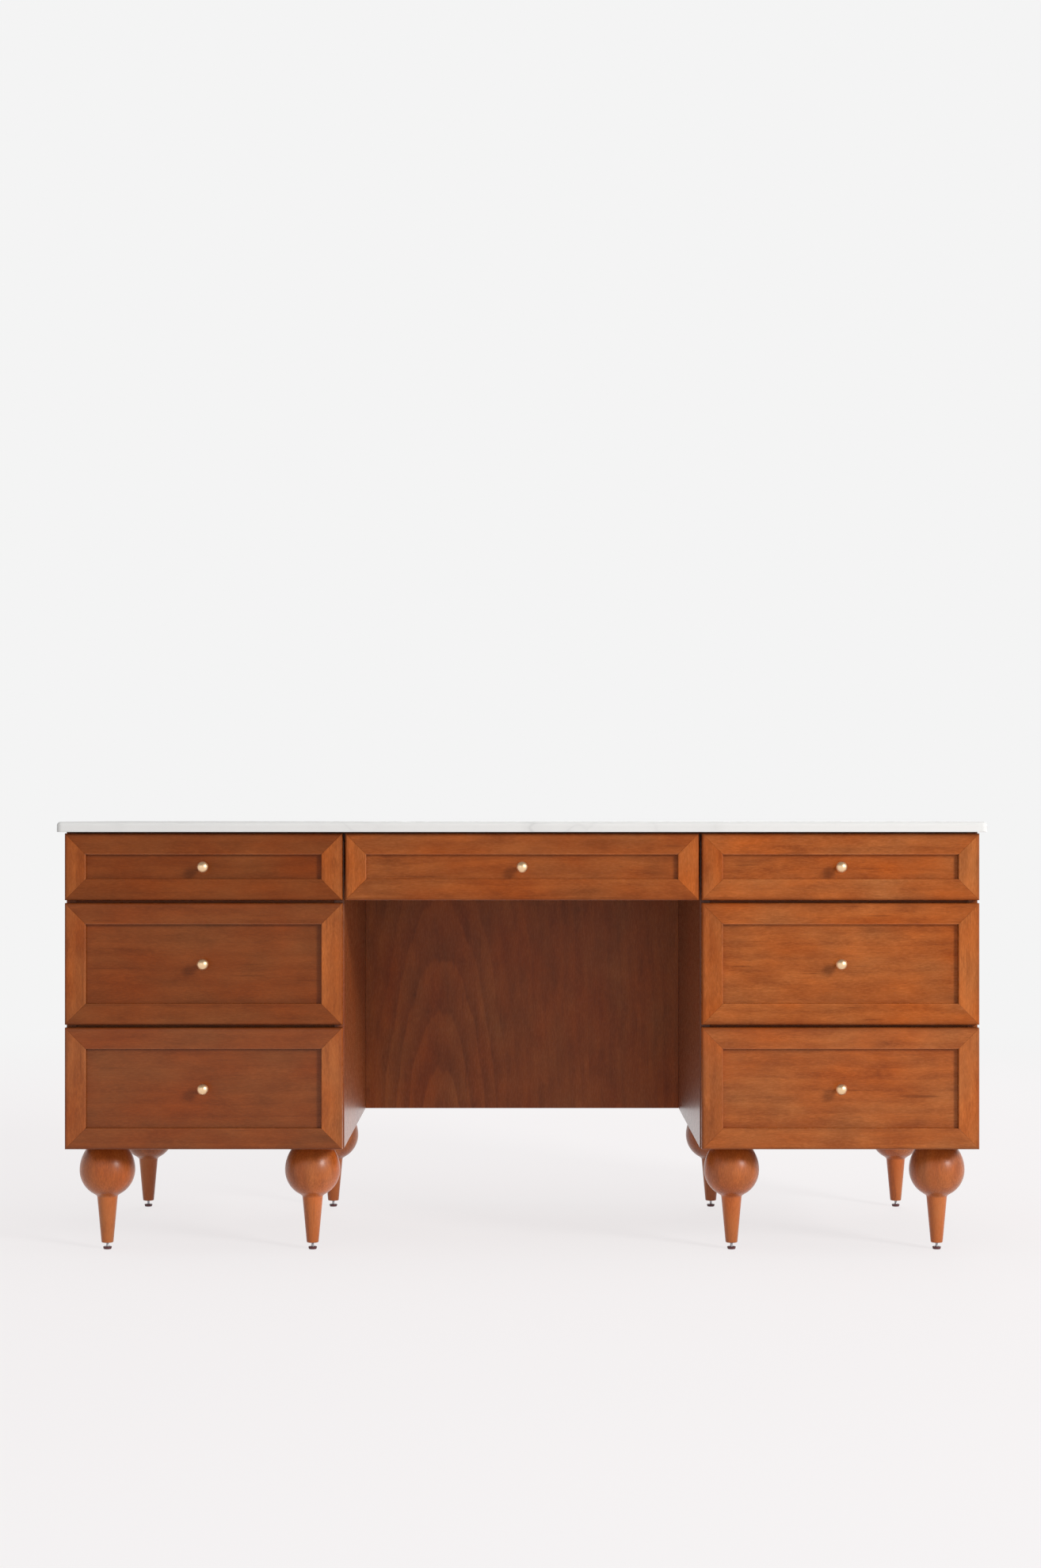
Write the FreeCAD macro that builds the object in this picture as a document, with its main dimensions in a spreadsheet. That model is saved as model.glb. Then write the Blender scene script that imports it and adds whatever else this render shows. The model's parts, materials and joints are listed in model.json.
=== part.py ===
import FreeCAD, Part
import math
import os
import Sketcher

# Double-pedestal executive desk: stone slab on a wooden case with seven drawers and eight
# turned legs. Millimetres, +Z up, front towards -Y, origin under the middle of the whole
# desk at floor level.

os.makedirs("parts", exist_ok=True)
doc = FreeCAD.newDocument("executive_desk")

# Driving sizes

SIZES = [
    # the whole desk
    ("desk_width", 1626), ("desk_depth", 711), ("desk_height", 762),
    ("kneehole_width", 625), ("leg_height", 188.5),
    # stone slab
    ("top_thickness", 18), ("top_overhang", 12.5),
    ("top_edge_radius", 6.5), ("top_corner_radius", 8), ("top_arris_radius", 1),
    # case boards
    ("board_thickness", 18), ("sub_top_thickness", 15), ("back_thickness", 9),
    ("rail_height", 20), ("rail_depth", 60),
    # drawer fronts: four mitred members round a plain panel
    ("front_thickness", 22), ("front_gap", 0.5), ("reveal", 5), ("top_reveal", 2.5),
    ("side_front_inset", 2), ("shallow_front_height", 117), ("frame_width", 37),
    ("panel_recess", 8), ("rebate_width", 8), ("frame_outer_radius", 4), ("frame_inner_radius", 1),
    # drawer boxes
    ("box_board", 12), ("box_floor", 6), ("box_floor_raise", 10), ("runner_space", 12.7),
    ("box_gap_below", 12), ("box_gap_above", 20), ("box_gap_behind", 95), ("centre_box_gap_behind", 186),
    # steel runners
    ("runner_setback", 3), ("runner_end_gap", 6.5), ("runner_steel", 1.2),
    ("case_member_height", 35), ("case_member_depth", 9), ("case_member_lip", 4),
    ("runner_clearance", 0.5), ("drawer_member_flange", 8),
    # knobs and their screws
    ("knob_length", 28), ("knob_radius", 10), ("knob_collar_radius", 6), ("knob_collar_length", 2),
    ("knob_neck_radius", 4), ("knob_neck_length", 14), ("knob_rim_start", 20), ("knob_rim_end", 21.5),
    ("knob_bore_length", 13), ("screw_radius", 2), ("screw_reach", 12), ("screw_clearance", 0.2),
    ("screw_head_radius", 5.5), ("screw_head_length", 2.5),
    # turned legs
    ("leg_inset", 61), ("leg_setback", 70), ("ball_top_radius", 29), ("ball_radius", 49.2),
    ("ball_height", 142), ("ball_foot_radius", 30), ("ball_foot_height", 103),
    ("shoulder_radius", 19.6), ("shoulder_height", 96.3), ("shoulder_step", 2.3),
    ("peg_top_radius", 18.2), ("peg_foot_height", 12),
    ("peg_foot_radius", 10.6), ("peg_foot_round", 1.5),
    # bolts and threaded inserts
    ("bolt_radius", 4), ("bolt_in_leg", 34), ("bolt_bore_spare", 3), ("base_insert_radius", 6),
    ("base_insert_cover", 2), ("insert_clearance", 0.1), ("foot_insert_radius", 4.5),
    ("foot_insert_length", 16), ("foot_bore_length", 40),
    # screw-in levellers
    ("leveller_disc_radius", 7.8), ("leveller_disc_foot_radius", 6.8), ("leveller_disc_thickness", 4.6),
    ("leveller_socket_depth", 3), ("leveller_stem_radius", 2.5), ("leveller_stem_length", 38),
    ("leveller_clearance", 0.08),
]

size = doc.addObject("Spreadsheet::Sheet", "size")
for row, (alias, value) in enumerate(SIZES, start=1):
    size.set(f"A{row}", alias)
    size.set(f"B{row}", str(value))
    size.setAlias(f"B{row}", alias)
doc.recompute()

# Places worked out from the sizes

PLACES = [
    # depth: how far the knobs stand out past the slab, then planes from front to back
    ("knob_reach", "max(0; size.knob_length - size.panel_recess - size.top_overhang)"),
    ("top_front", "(knob_reach - size.desk_depth) / 2"),
    ("top_back", "top_front + size.desk_depth"),
    ("front_face", "top_front + size.top_overhang"),
    ("front_back", "front_face + size.front_thickness"),
    ("case_front", "front_back + size.front_gap"),
    ("case_back", "top_back - size.top_overhang"),
    ("case_depth", "case_back - case_front"),
    ("panel_face", "front_face + size.panel_recess"),
    # width
    ("case_half", "size.desk_width / 2 - size.top_overhang"),
    ("knee_half", "size.kneehole_width / 2"),
    ("pedestal_centre", "(case_half + knee_half) / 2"),
    ("bay_width", "case_half - knee_half - 2 * size.board_thickness"),
    # height
    ("case_top", "size.desk_height - size.top_thickness"),
    ("bay_top", "case_top - size.sub_top_thickness"),
    ("base_top", "size.leg_height + size.board_thickness"),
    # drawer fronts
    ("side_front_width", "case_half - knee_half - size.side_front_inset"),
    ("side_front_centre", "(case_half + knee_half + size.side_front_inset) / 2"),
    ("centre_front_width", "size.kneehole_width + 2 * (size.side_front_inset - size.reveal)"),
    ("deep_front_height", "(case_top - size.leg_height - size.top_reveal"
                          " - size.shallow_front_height) / 2 - size.reveal"),
    ("shallow_front_bottom", "case_top - size.top_reveal - size.shallow_front_height"),
    ("middle_front_bottom", "shallow_front_bottom - size.reveal - deep_front_height"),
    ("bottom_front_bottom", "middle_front_bottom - size.reveal - deep_front_height"),
    # rails behind the gaps between the fronts
    ("upper_rail_bottom", "shallow_front_bottom - (size.reveal + size.rail_height) / 2"),
    ("lower_rail_bottom", "middle_front_bottom - (size.reveal + size.rail_height) / 2"),
    ("upper_rail_top", "upper_rail_bottom + size.rail_height"),
    ("lower_rail_top", "lower_rail_bottom + size.rail_height"),
    # drawer boxes between the rails
    ("box_gaps", "size.box_gap_below + size.box_gap_above"),
    ("shallow_box_height", "bay_top - upper_rail_top - box_gaps"),
    ("middle_box_height", "upper_rail_bottom - lower_rail_top - box_gaps"),
    ("bottom_box_height", "lower_rail_bottom - base_top - box_gaps"),
    ("shallow_box_bottom", "upper_rail_top + size.box_gap_below"),
    ("middle_box_bottom", "lower_rail_top + size.box_gap_below"),
    ("bottom_box_bottom", "base_top + size.box_gap_below"),
    ("box_width", "bay_width - 2 * size.runner_space"),
    ("centre_box_width", "size.kneehole_width - 2 * size.runner_space"),
    ("box_depth", "case_back - size.back_thickness - size.box_gap_behind - front_back"),
    ("centre_box_depth", "case_back - size.board_thickness - size.centre_box_gap_behind - front_back"),
    # runners
    ("runner_front", "case_front + size.runner_setback"),
    ("runner_short", "runner_front - front_back + size.runner_end_gap"),
    ("runner_length", "box_depth - runner_short"),
    ("centre_runner_length", "centre_box_depth - runner_short"),
    ("lip_edge", "size.case_member_height / 2 - size.case_member_lip"),
    ("drawer_member_half", "lip_edge - size.runner_clearance"),
    # legs
    ("leg_outer", "case_half - size.leg_inset"),
    ("leg_inner", "knee_half + size.leg_inset"),
    ("leg_front", "case_front + size.leg_setback"),
    ("leg_rear", "case_back - size.leg_setback"),
    ("base_insert_length", "size.board_thickness - size.base_insert_cover"),
]

place = doc.addObject("App::VarSet", "place")
for name, formula in PLACES:
    place.addProperty("App::PropertyFloat", name, "Places")
    place.setExpression(name, formula)
doc.recompute()


# Helpers

UPRIGHT = FreeCAD.Rotation(FreeCAD.Vector(1, 0, 0), 90)
ABOUT_Z = FreeCAD.Vector(0, 0, 1)
TINY = 1e-4
HALF_TURN_Y = FreeCAD.Rotation(FreeCAD.Vector(0, 1, 0), 180)


def put(thing, x="0", y="0", z="0", turn=None):
    """Turn a thing about its origin, then bind its place to three formulas."""
    if turn is not None:
        thing.Placement = FreeCAD.Placement(FreeCAD.Vector(), turn)
    thing.setExpression("Placement.Base.x", x)
    thing.setExpression("Placement.Base.y", y)
    thing.setExpression("Placement.Base.z", z)
    return thing


def board(label, x, y, z, length, width, height):
    """A rectangular board with its low corner at x, y, z."""
    box = doc.addObject("Part::Box", label)
    box.Label = label
    box.setExpression("Length", length)
    box.setExpression("Width", width)
    box.setExpression("Height", height)
    return put(box, x, y, z)


def rod(label, radius, length, x="0", y="0", z="0", turn=None):
    """A round rod or bore along its own Z, starting at x, y, z."""
    cylinder = doc.addObject("Part::Cylinder", label)
    cylinder.setExpression("Radius", radius)
    cylinder.setExpression("Height", length)
    return put(cylinder, x, y, z, turn)


def cut(label, base, tool):
    """Base with the tool's shape taken away."""
    result = doc.addObject("Part::Cut", label)
    result.Label = label
    result.Base = base
    result.Tool = tool
    return result


def group(label, members, x="0", y="0", z="0", turn=None):
    """Separate solids kept together under one label, placed as one."""
    compound = doc.addObject("Part::Compound", label)
    compound.Label = label
    compound.Links = members
    return put(compound, x, y, z, turn)


def arc_through(start, end, centre):
    """The shorter arc about a centre; also says whether it runs backwards."""
    radius = math.dist(start, centre)
    first = math.atan2(start[1] - centre[1], start[0] - centre[0])
    last = math.atan2(end[1] - centre[1], end[0] - centre[0])
    backwards = math.sin(last - first) < 0
    if backwards:
        first, last = last, first
    middle = FreeCAD.Vector(centre[0], centre[1], 0)
    return Part.ArcOfCircle(Part.Circle(middle, ABOUT_Z, radius), first, last), backwards


def outline(body, name, plane, corners, arcs=None):
    """A closed sketch whose corners are bound to pairs of formulas.

    arcs maps a corner's number to "level" or "plumb" and 0 or 1: the edge that leaves that
    corner is a round one, whose centre is level with, or plumb under, its start (0) or end (1).
    """
    arcs = arcs or {}
    sketch = body.newObject("Sketcher::SketchObject", name)
    support = [part for part in body.Origin.OriginFeatures if part.Role == plane][0]
    sketch.AttachmentSupport = [(support, "")]
    sketch.MapMode = "FlatFace"
    spots = [tuple(float(place.evalExpression(formula)) for formula in corner) for corner in corners]
    count = len(corners)
    ends = []
    for index, start in enumerate(spots):
        end = spots[(index + 1) % count]
        if index not in arcs:
            sketch.addGeometry(Part.LineSegment(FreeCAD.Vector(*start, 0), FreeCAD.Vector(*end, 0)), False)
            ends.append((1, 2))
            continue
        kind, which = arcs[index]
        known = 1 if kind == "level" else 0
        free = 1 - known
        fixed = (start, end)[which][known]
        rise = (end[known] - fixed) ** 2 - (start[known] - fixed) ** 2
        centre = [0, 0]
        centre[known] = fixed
        centre[free] = (end[free] ** 2 - start[free] ** 2 + rise) / (2 * (end[free] - start[free]))
        curve, backwards = arc_through(start, end, centre)
        sketch.addGeometry(curve, False)
        ends.append((2, 1) if backwards else (1, 2))
    for index in range(count):
        after = (index + 1) % count
        sketch.addConstraint(Sketcher.Constraint("Coincident", index, ends[index][1], after, ends[after][0]))
    for index, corner in enumerate(corners):
        for axis, formula in enumerate(corner):
            if formula == "0":
                sketch.addConstraint(
                    Sketcher.Constraint("PointOnObject", index, ends[index][0], (-2, -1)[axis]))
                continue
            kind = ("DistanceX", "DistanceY")[axis]
            number = sketch.addConstraint(
                Sketcher.Constraint(kind, -1, 1, index, ends[index][0], spots[index][axis]))
            sketch.setExpression(f"Constraints[{number}]", formula)
    for index, (kind, which) in arcs.items():
        direction = "Horizontal" if kind == "level" else "Vertical"
        sketch.addConstraint(Sketcher.Constraint(direction, index, 3, index, ends[index][which]))
    return sketch


def new_body(label):
    body = doc.addObject("PartDesign::Body", label)
    body.Label = label
    return body


def padded(label, plane, corners, length, arcs=None, backwards=False):
    """A body made by padding one closed outline."""
    body = new_body(label)
    sketch = outline(body, label + "_outline", plane, corners, arcs)
    pad = body.newObject("PartDesign::Pad", label + "_pad")
    pad.Profile = sketch
    pad.setExpression("Length", length)
    pad.Reversed = backwards
    return body


def turned(label, corners, arcs=None):
    """A body turned about its own Z from one half outline."""
    body = new_body(label)
    sketch = outline(body, label + "_outline", "XZ_Plane", corners, arcs)
    revolution = body.newObject("PartDesign::Revolution", label + "_turning")
    revolution.Profile = sketch
    revolution.ReferenceAxis = (sketch, ["V_Axis"])
    revolution.Angle = 360
    return body


def rounded(body, name, radius, wanted):
    """Round the edges of a body that the test picks."""
    doc.recompute()
    base = body.Tip
    names = [f"Edge{number}" for number, edge in enumerate(base.Shape.Edges, start=1) if wanted(edge)]
    fillet = body.newObject("PartDesign::Fillet", name)
    fillet.Base = (base, names)
    fillet.setExpression("Radius", radius)
    doc.recompute()
    return fillet


def on_plane(edge, height):
    """Whether an edge lies flat at this height."""
    return all(abs(vertex.Z - height) < TINY for vertex in edge.Vertexes)


sub_parts = []


def keep(thing):
    sub_parts.append(thing)
    return thing


# Stone slab

def make_marble_top():
    half = "size.desk_width / 2"
    slab = padded("marble_top", "XY_Plane",
                  [("-" + half, "place.top_front"), (half, "place.top_front"),
                   (half, "place.top_back"), ("-" + half, "place.top_back")],
                  "size.top_thickness")
    rounded(slab, "corner_rounds", "size.top_corner_radius",
            lambda edge: edge.Vertexes[0].Z != edge.Vertexes[1].Z)
    rounded(slab, "top_edge_round", "size.top_edge_radius",
            lambda edge: on_plane(edge, slab.Shape.BoundBox.ZMax))
    rounded(slab, "lower_arris", "size.top_arris_radius",
            lambda edge: on_plane(edge, slab.Shape.BoundBox.ZMin))
    keep(put(slab, z="place.case_top"))

# Case boards

def make_case():
    board_size = "size.board_thickness"
    full_height = "place.case_top - size.leg_height"
    inner_height = "place.bay_top - size.leg_height"
    front, depth = "place.case_front", "place.case_depth"
    keep(board("left_outer_side", "-place.case_half", front, "size.leg_height",
               board_size, depth, full_height))
    keep(board("left_inner_side", "-place.knee_half - size.board_thickness", front, "size.leg_height",
               board_size, depth, inner_height))
    keep(board("right_inner_side", "place.knee_half", front, "size.leg_height",
               board_size, depth, inner_height))
    keep(board("right_outer_side", "place.case_half - size.board_thickness", front, "size.leg_height",
               board_size, depth, full_height))
    keep(board("sub_top", "size.board_thickness - place.case_half", front, "place.bay_top",
               "2 * (place.case_half - size.board_thickness)", depth, "size.sub_top_thickness"))
    keep(board("modesty_panel", "-place.knee_half", "place.case_back - size.board_thickness",
               "size.leg_height", "size.kneehole_width", board_size, inner_height))
    rails = []
    for side, sign in (("left", "-"), ("right", "")):
        middle = sign + "place.pedestal_centre"
        low_x = middle + " - place.bay_width / 2"
        base = board(side + "_base_board", low_x, front, "size.leg_height",
                     "place.bay_width", depth, board_size)
        bores = [rod(f"{side}_base_bore_{row}_{column}", "size.base_insert_radius + size.insert_clearance",
                     board_size, sign + across, along, "size.leg_height")
                 for row, along in LEG_ROWS for column, across in LEG_COLUMNS]
        keep(cut(side + "_base_panel", base, group(side + "_base_bores", bores)))
        keep(board(side + "_back_panel", low_x, "place.case_back - size.back_thickness", "place.base_top",
                   "place.bay_width", "size.back_thickness", "place.bay_top - place.base_top"))
        rails += [board(f"{side}_{level}_rail", low_x, front, f"place.{level}_rail_bottom",
                        "place.bay_width", "size.rail_depth", "size.rail_height")
                  for level in ("upper", "lower")]
    keep(group("drawer_rails", rails))


# Turned legs, their bolts and inserts, and the levellers

LEG_ROWS = (("front", "place.leg_front"), ("rear", "place.leg_rear"))
LEG_COLUMNS = (("outer", "place.leg_outer"), ("inner", "place.leg_inner"))
LEG_SPOTS = [(f"{side}_{row}_{column}", sign + across, along)
             for side, sign in (("left", "-"), ("right", ""))
             for row, along in LEG_ROWS
             for column, across in LEG_COLUMNS]


def make_legs():
    bolt_bore = "size.bolt_radius + size.insert_clearance"
    bolt_bore_end = "size.leg_height - size.bolt_in_leg - size.bolt_bore_spare"
    insert_bore = "size.foot_insert_radius + size.insert_clearance"
    insert_end = "size.peg_foot_height + size.foot_insert_length"
    stem_bore = "size.leveller_stem_radius + size.leveller_clearance"
    stem_bore_end = "size.peg_foot_height + size.foot_bore_length"
    foot = "size.peg_foot_height"
    leg = turned("turned_leg", [
        ("0", bolt_bore_end), (bolt_bore, bolt_bore_end), (bolt_bore, "size.leg_height"),
        ("size.ball_top_radius", "size.leg_height"), ("size.ball_radius", "size.ball_height"),
        ("size.ball_foot_radius", "size.ball_foot_height"),
        ("size.shoulder_radius", "size.shoulder_height"),
        ("size.peg_top_radius", "size.shoulder_height - size.shoulder_step"),
        ("size.peg_foot_radius", foot), (insert_bore, foot), (insert_bore, insert_end),
        (stem_bore, insert_end), (stem_bore, stem_bore_end), ("0", stem_bore_end),
    ], arcs={3: ("level", 1), 4: ("level", 0)})
    rounded(leg, "foot_round", "size.peg_foot_round",
            lambda edge: on_plane(edge, size.peg_foot_height)
            and abs(edge.Vertexes[0].X - size.peg_foot_radius) < TINY)
    foot_insert = turned("foot_insert", [
        (stem_bore, foot), ("size.foot_insert_radius", foot),
        ("size.foot_insert_radius", insert_end), (stem_bore, insert_end)])
    base_insert = turned("base_insert", [
        (bolt_bore, "size.leg_height"), ("size.base_insert_radius", "size.leg_height"),
        ("size.base_insert_radius", "size.leg_height + place.base_insert_length"),
        (bolt_bore, "size.leg_height + place.base_insert_length")])
    bolt = rod("leg_bolt", "size.bolt_radius", "size.bolt_in_leg + place.base_insert_length",
               z="size.leg_height - size.bolt_in_leg")
    for spot, x, y in LEG_SPOTS:
        keep(group(f"leg_{spot}", [leg], x, y))
    for label, piece in (("leg_bolts", bolt), ("base_inserts", base_insert), ("foot_inserts", foot_insert)):
        keep(group(label, [group(f"{label}_{spot}", [piece], x, y) for spot, x, y in LEG_SPOTS]))


def make_levellers():
    disc_top = "size.leveller_disc_thickness"
    socket = "size.leveller_disc_thickness - size.leveller_socket_depth"
    disc = turned("leveller_disc", [
        ("0", "0"), ("size.leveller_disc_foot_radius", "0"), ("size.leveller_disc_radius", disc_top),
        ("size.leveller_stem_radius", disc_top), ("size.leveller_stem_radius", socket), ("0", socket)])
    stem = rod("leveller_stem", "size.leveller_stem_radius",
               "size.leveller_stem_length + size.leveller_socket_depth", z=socket)
    for spot, x, y in LEG_SPOTS:
        keep(group(f"leveller_{spot}", [disc, stem], x, y))


# Drawer fronts: local x across, local y up, local z towards the user

def make_member(label, length):
    """One frame member on local X, with its outer edge on y = 0 and both ends mitred."""
    thick, lip = "size.front_thickness", "size.front_thickness - size.panel_recess"
    wide, rebate = "size.frame_width", "size.frame_width - size.rebate_width"
    strip = padded(label + "_strip", "YZ_Plane", [
        ("0", "0"), ("0", thick + " - size.frame_outer_radius"), ("size.frame_outer_radius", thick),
        (wide + " - size.frame_inner_radius", thick), (wide, thick + " - size.frame_inner_radius"),
        (wide, lip), (rebate, lip), (rebate, "0"),
    ], length, arcs={1: ("level", 0), 3: ("level", 1)})
    mitre = doc.addObject("Part::Wedge", label + "_mitre")
    for bound, formula in (("Xmin", "0"), ("Ymin", "0"), ("Zmin", "0"), ("Z2min", "0"),
                           ("X2min", wide), ("Xmax", length), ("X2max", length + " - " + wide),
                           ("Ymax", wide), ("Zmax", thick), ("Z2max", thick)):
        mitre.setExpression(bound, formula)
    member = doc.addObject("Part::Common", label)
    member.Base = strip
    member.Tool = mitre
    return member


def make_front(label, width, height):
    """A frame of two rails and two stiles round a panel, with a bore for the knob's screw."""
    rail = make_member(label + "_rail", width)
    stile = make_member(label + "_stile", height)
    edge = "size.frame_width - size.rebate_width"
    panel_thickness = "size.front_thickness - size.panel_recess"
    plain = board(label + "_plain_panel", edge, edge, "0", f"{width} - 2 * ({edge})",
                  f"{height} - 2 * ({edge})", panel_thickness)
    bore = rod(label + "_screw_bore", "size.screw_radius + size.screw_clearance", panel_thickness,
               width + " / 2", height + " / 2")
    return group(label, [
        group(label + "_lower_rail", [rail]),
        group(label + "_right_stile", [stile], x=width, turn=FreeCAD.Rotation(ABOUT_Z, 90)),
        group(label + "_upper_rail", [rail], x=width, y=height, turn=FreeCAD.Rotation(ABOUT_Z, 180)),
        group(label + "_left_stile", [stile], y=height, turn=FreeCAD.Rotation(ABOUT_Z, -90)),
        cut(label + "_panel", plain, bore),
    ])


# Drawer boxes: local x = 0 in the middle, y = 0 at the box's front, z = 0 under it

def make_box(label, width, height, depth, bore_height):
    thick = "size.box_board"
    inside = width + " - 2 * size.box_board"
    low_x = f"size.box_board - ({width}) / 2"
    plain = board(label + "_plain_front", low_x, "0", "0", inside, thick, height)
    # the bore is wide enough for a front that sits half an inset off the middle of its box
    bore_radius = "size.screw_radius + size.screw_clearance + size.side_front_inset / 2"
    bore = rod(label + "_screw_bore", bore_radius, thick, y=thick, z=bore_height, turn=UPRIGHT)
    return group(label, [
        board(label + "_left", f"-({width}) / 2", "0", "0", thick, depth, height),
        board(label + "_right", f"({width}) / 2 - size.box_board", "0", "0", thick, depth, height),
        cut(label + "_front", plain, bore),
        board(label + "_back", low_x, depth + " - size.box_board", "0", inside, thick, height),
        board(label + "_floor", low_x, thick, "size.box_floor_raise", inside,
              depth + " - 2 * size.box_board", "size.box_floor"),
    ])


# Runners: local x runs from the case to the box, y along the runner, z = 0 at mid height

def make_case_member(label, length):
    steel, deep, half = "size.runner_steel", "size.case_member_depth", "size.case_member_height / 2"
    inner, lip = half + " - size.runner_steel", "place.lip_edge"
    lip_x = "size.case_member_depth - size.runner_steel"
    return padded(label, "XZ_Plane", [
        ("0", f"-({half})"), (deep, f"-({half})"), (deep, "-place.lip_edge"), (lip_x, "-place.lip_edge"),
        (lip_x, f"-({inner})"), (steel, f"-({inner})"), (steel, inner), (lip_x, inner),
        (lip_x, lip), (deep, lip), (deep, half), ("0", half),
    ], length, backwards=True)


def make_drawer_member(label, length):
    space, half = "size.runner_space", "place.drawer_member_half"
    web = "size.runner_space - size.runner_steel"
    flange = "size.runner_space - size.drawer_member_flange"
    inner = "place.drawer_member_half - size.runner_steel"
    return padded(label, "XZ_Plane", [
        (space, f"-{half}"), (space, half), (flange, half), (flange, inner), (web, inner),
        (web, f"-({inner})"), (flange, f"-({inner})"), (flange, f"-{half}"),
    ], length, backwards=True)


def pair(label, member, centre, half_space, height):
    """One member on each side of a drawer: the right one is turned to face the left one."""
    return [group(label + "_left", [member], f"{centre} - {half_space}", "place.runner_front", height),
            group(label + "_right", [member], f"{centre} + {half_space}", "place.runner_front", height,
                  turn=HALF_TURN_Y)]


# Knobs: local z runs out of the front, z = 0 on the panel

def make_knob():
    bore = "size.screw_radius + size.insert_clearance"
    neck, collar = "size.knob_neck_radius", "size.knob_collar_radius"
    knob = turned("turned_knob", [
        ("0", "size.knob_bore_length"), (bore, "size.knob_bore_length"), (bore, "0"), (collar, "0"),
        (collar, "size.knob_collar_length"), (neck, "size.knob_collar_length"),
        (neck, "size.knob_neck_length"), ("size.knob_radius", "size.knob_rim_start"),
        ("size.knob_radius", "size.knob_rim_end"), ("0", "size.knob_length"),
    ], arcs={6: ("plumb", 0), 8: ("plumb", 1)})
    back = "size.panel_recess - size.front_thickness - size.box_board"
    head_end = back + " - size.screw_head_length"
    screw = turned("knob_screw", [
        ("0", head_end), ("size.screw_head_radius", head_end), ("size.screw_head_radius", back),
        ("size.screw_radius", back), ("size.screw_radius", "size.screw_reach"), ("0", "size.screw_reach")])
    return [knob, screw]


# Seven drawers

def make_drawers():
    side_runners = (make_case_member("case_member", "place.runner_length"),
                    make_drawer_member("drawer_member", "place.runner_length"))
    centre_runners = (make_case_member("centre_case_member", "place.centre_runner_length"),
                      make_drawer_member("centre_drawer_member", "place.centre_runner_length"))
    side_width, centre_width = "place.side_front_width", "place.centre_front_width"
    shallow, deep = "size.shallow_front_height", "place.deep_front_height"
    shallow_front = make_front("shallow_front", side_width, shallow)
    deep_front = make_front("deep_front", side_width, deep)
    centre_front = make_front("centre_front", centre_width, shallow)
    knob = make_knob()

    def make_row_box(row, front_height, width="place.box_width", depth="place.box_depth", name=None):
        knob_height = f"place.{row}_front_bottom + {front_height} / 2 - place.{row}_box_bottom"
        return make_box(name or row + "_box", width, f"place.{row}_box_height", depth, knob_height)

    rows = {
        "top": ("shallow", shallow, shallow_front, make_row_box("shallow", shallow)),
        "middle": ("middle", deep, deep_front, make_row_box("middle", deep)),
        "bottom": ("bottom", deep, deep_front, make_row_box("bottom", deep)),
    }
    centre_box = make_row_box("shallow", shallow, "place.centre_box_width", "place.centre_box_depth",
                              "centre_box")
    drawers = [(f"{row}_{side}_drawer", sign + "place.side_front_centre", sign + "place.pedestal_centre",
                side_width, "place.bay_width / 2", side_runners) + rows[row]
               for row in rows for side, sign in (("left", "-"), ("right", ""))]
    drawers.append(("centre_drawer", "0", "0", centre_width, "place.knee_half", centre_runners,
                    "shallow", shallow, centre_front, centre_box))
    case_members = []
    for (label, front_x, box_x, width, half_space, runners, row, front_height, front, box) in drawers:
        front_bottom = f"place.{row}_front_bottom"
        runner_height = f"place.{row}_box_bottom + place.{row}_box_height / 2"
        keep(group(label + "_front", [front], f"{front_x} - {width} / 2", "place.front_back",
                   front_bottom, turn=UPRIGHT))
        keep(group(label + "_box", [box], box_x, "place.front_back", f"place.{row}_box_bottom"))
        keep(group(label + "_knob", knob, front_x, "place.panel_face",
                   f"{front_bottom} + {front_height} / 2", turn=UPRIGHT))
        case_member, drawer_member = runners
        keep(group(label + "_runners", pair(label + "_runner", drawer_member, box_x, half_space,
                                            runner_height)))
        case_members += pair(label + "_case_runner", case_member, box_x, half_space, runner_height)
    keep(group("case_runners", case_members))


make_marble_top()
make_case()
make_legs()
make_levellers()
make_drawers()
doc.recompute()

# Nothing is written unless every object is sound

for thing in doc.Objects:
    if "Invalid" in thing.State or "Error" in thing.State:
        raise RuntimeError(f"{thing.Label} failed to build: {thing.State}")
for part in sub_parts:
    if part.Shape.isNull() or not part.Shape.isValid() or not part.Shape.Solids:
        raise RuntimeError(f"{part.Label} is not a sound solid")
for part in sub_parts:
    part.Shape.exportStep(f"parts/{part.Label}.step")
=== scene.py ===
import json
import math
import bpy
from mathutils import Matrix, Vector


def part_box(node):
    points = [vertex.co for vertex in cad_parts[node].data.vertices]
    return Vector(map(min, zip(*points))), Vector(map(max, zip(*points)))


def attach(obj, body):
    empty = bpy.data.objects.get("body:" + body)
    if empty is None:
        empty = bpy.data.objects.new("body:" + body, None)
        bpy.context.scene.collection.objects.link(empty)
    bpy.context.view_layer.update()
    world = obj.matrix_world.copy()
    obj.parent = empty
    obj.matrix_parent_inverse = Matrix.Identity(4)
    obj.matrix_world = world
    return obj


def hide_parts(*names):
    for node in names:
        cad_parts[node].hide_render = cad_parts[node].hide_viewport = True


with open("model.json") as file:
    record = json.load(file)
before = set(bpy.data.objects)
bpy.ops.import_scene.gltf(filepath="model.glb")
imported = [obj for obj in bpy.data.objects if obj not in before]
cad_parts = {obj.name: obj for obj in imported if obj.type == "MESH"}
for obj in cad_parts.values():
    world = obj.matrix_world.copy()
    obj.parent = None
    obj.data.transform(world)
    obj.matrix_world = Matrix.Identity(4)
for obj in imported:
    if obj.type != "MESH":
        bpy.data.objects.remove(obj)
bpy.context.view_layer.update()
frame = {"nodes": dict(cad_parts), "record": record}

import zlib

import bpy
import numpy as np
from bpy.props import FloatProperty, FloatVectorProperty, IntProperty, PointerProperty
from bpy.types import Operator, Panel, PropertyGroup
from mathutils import Vector

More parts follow.
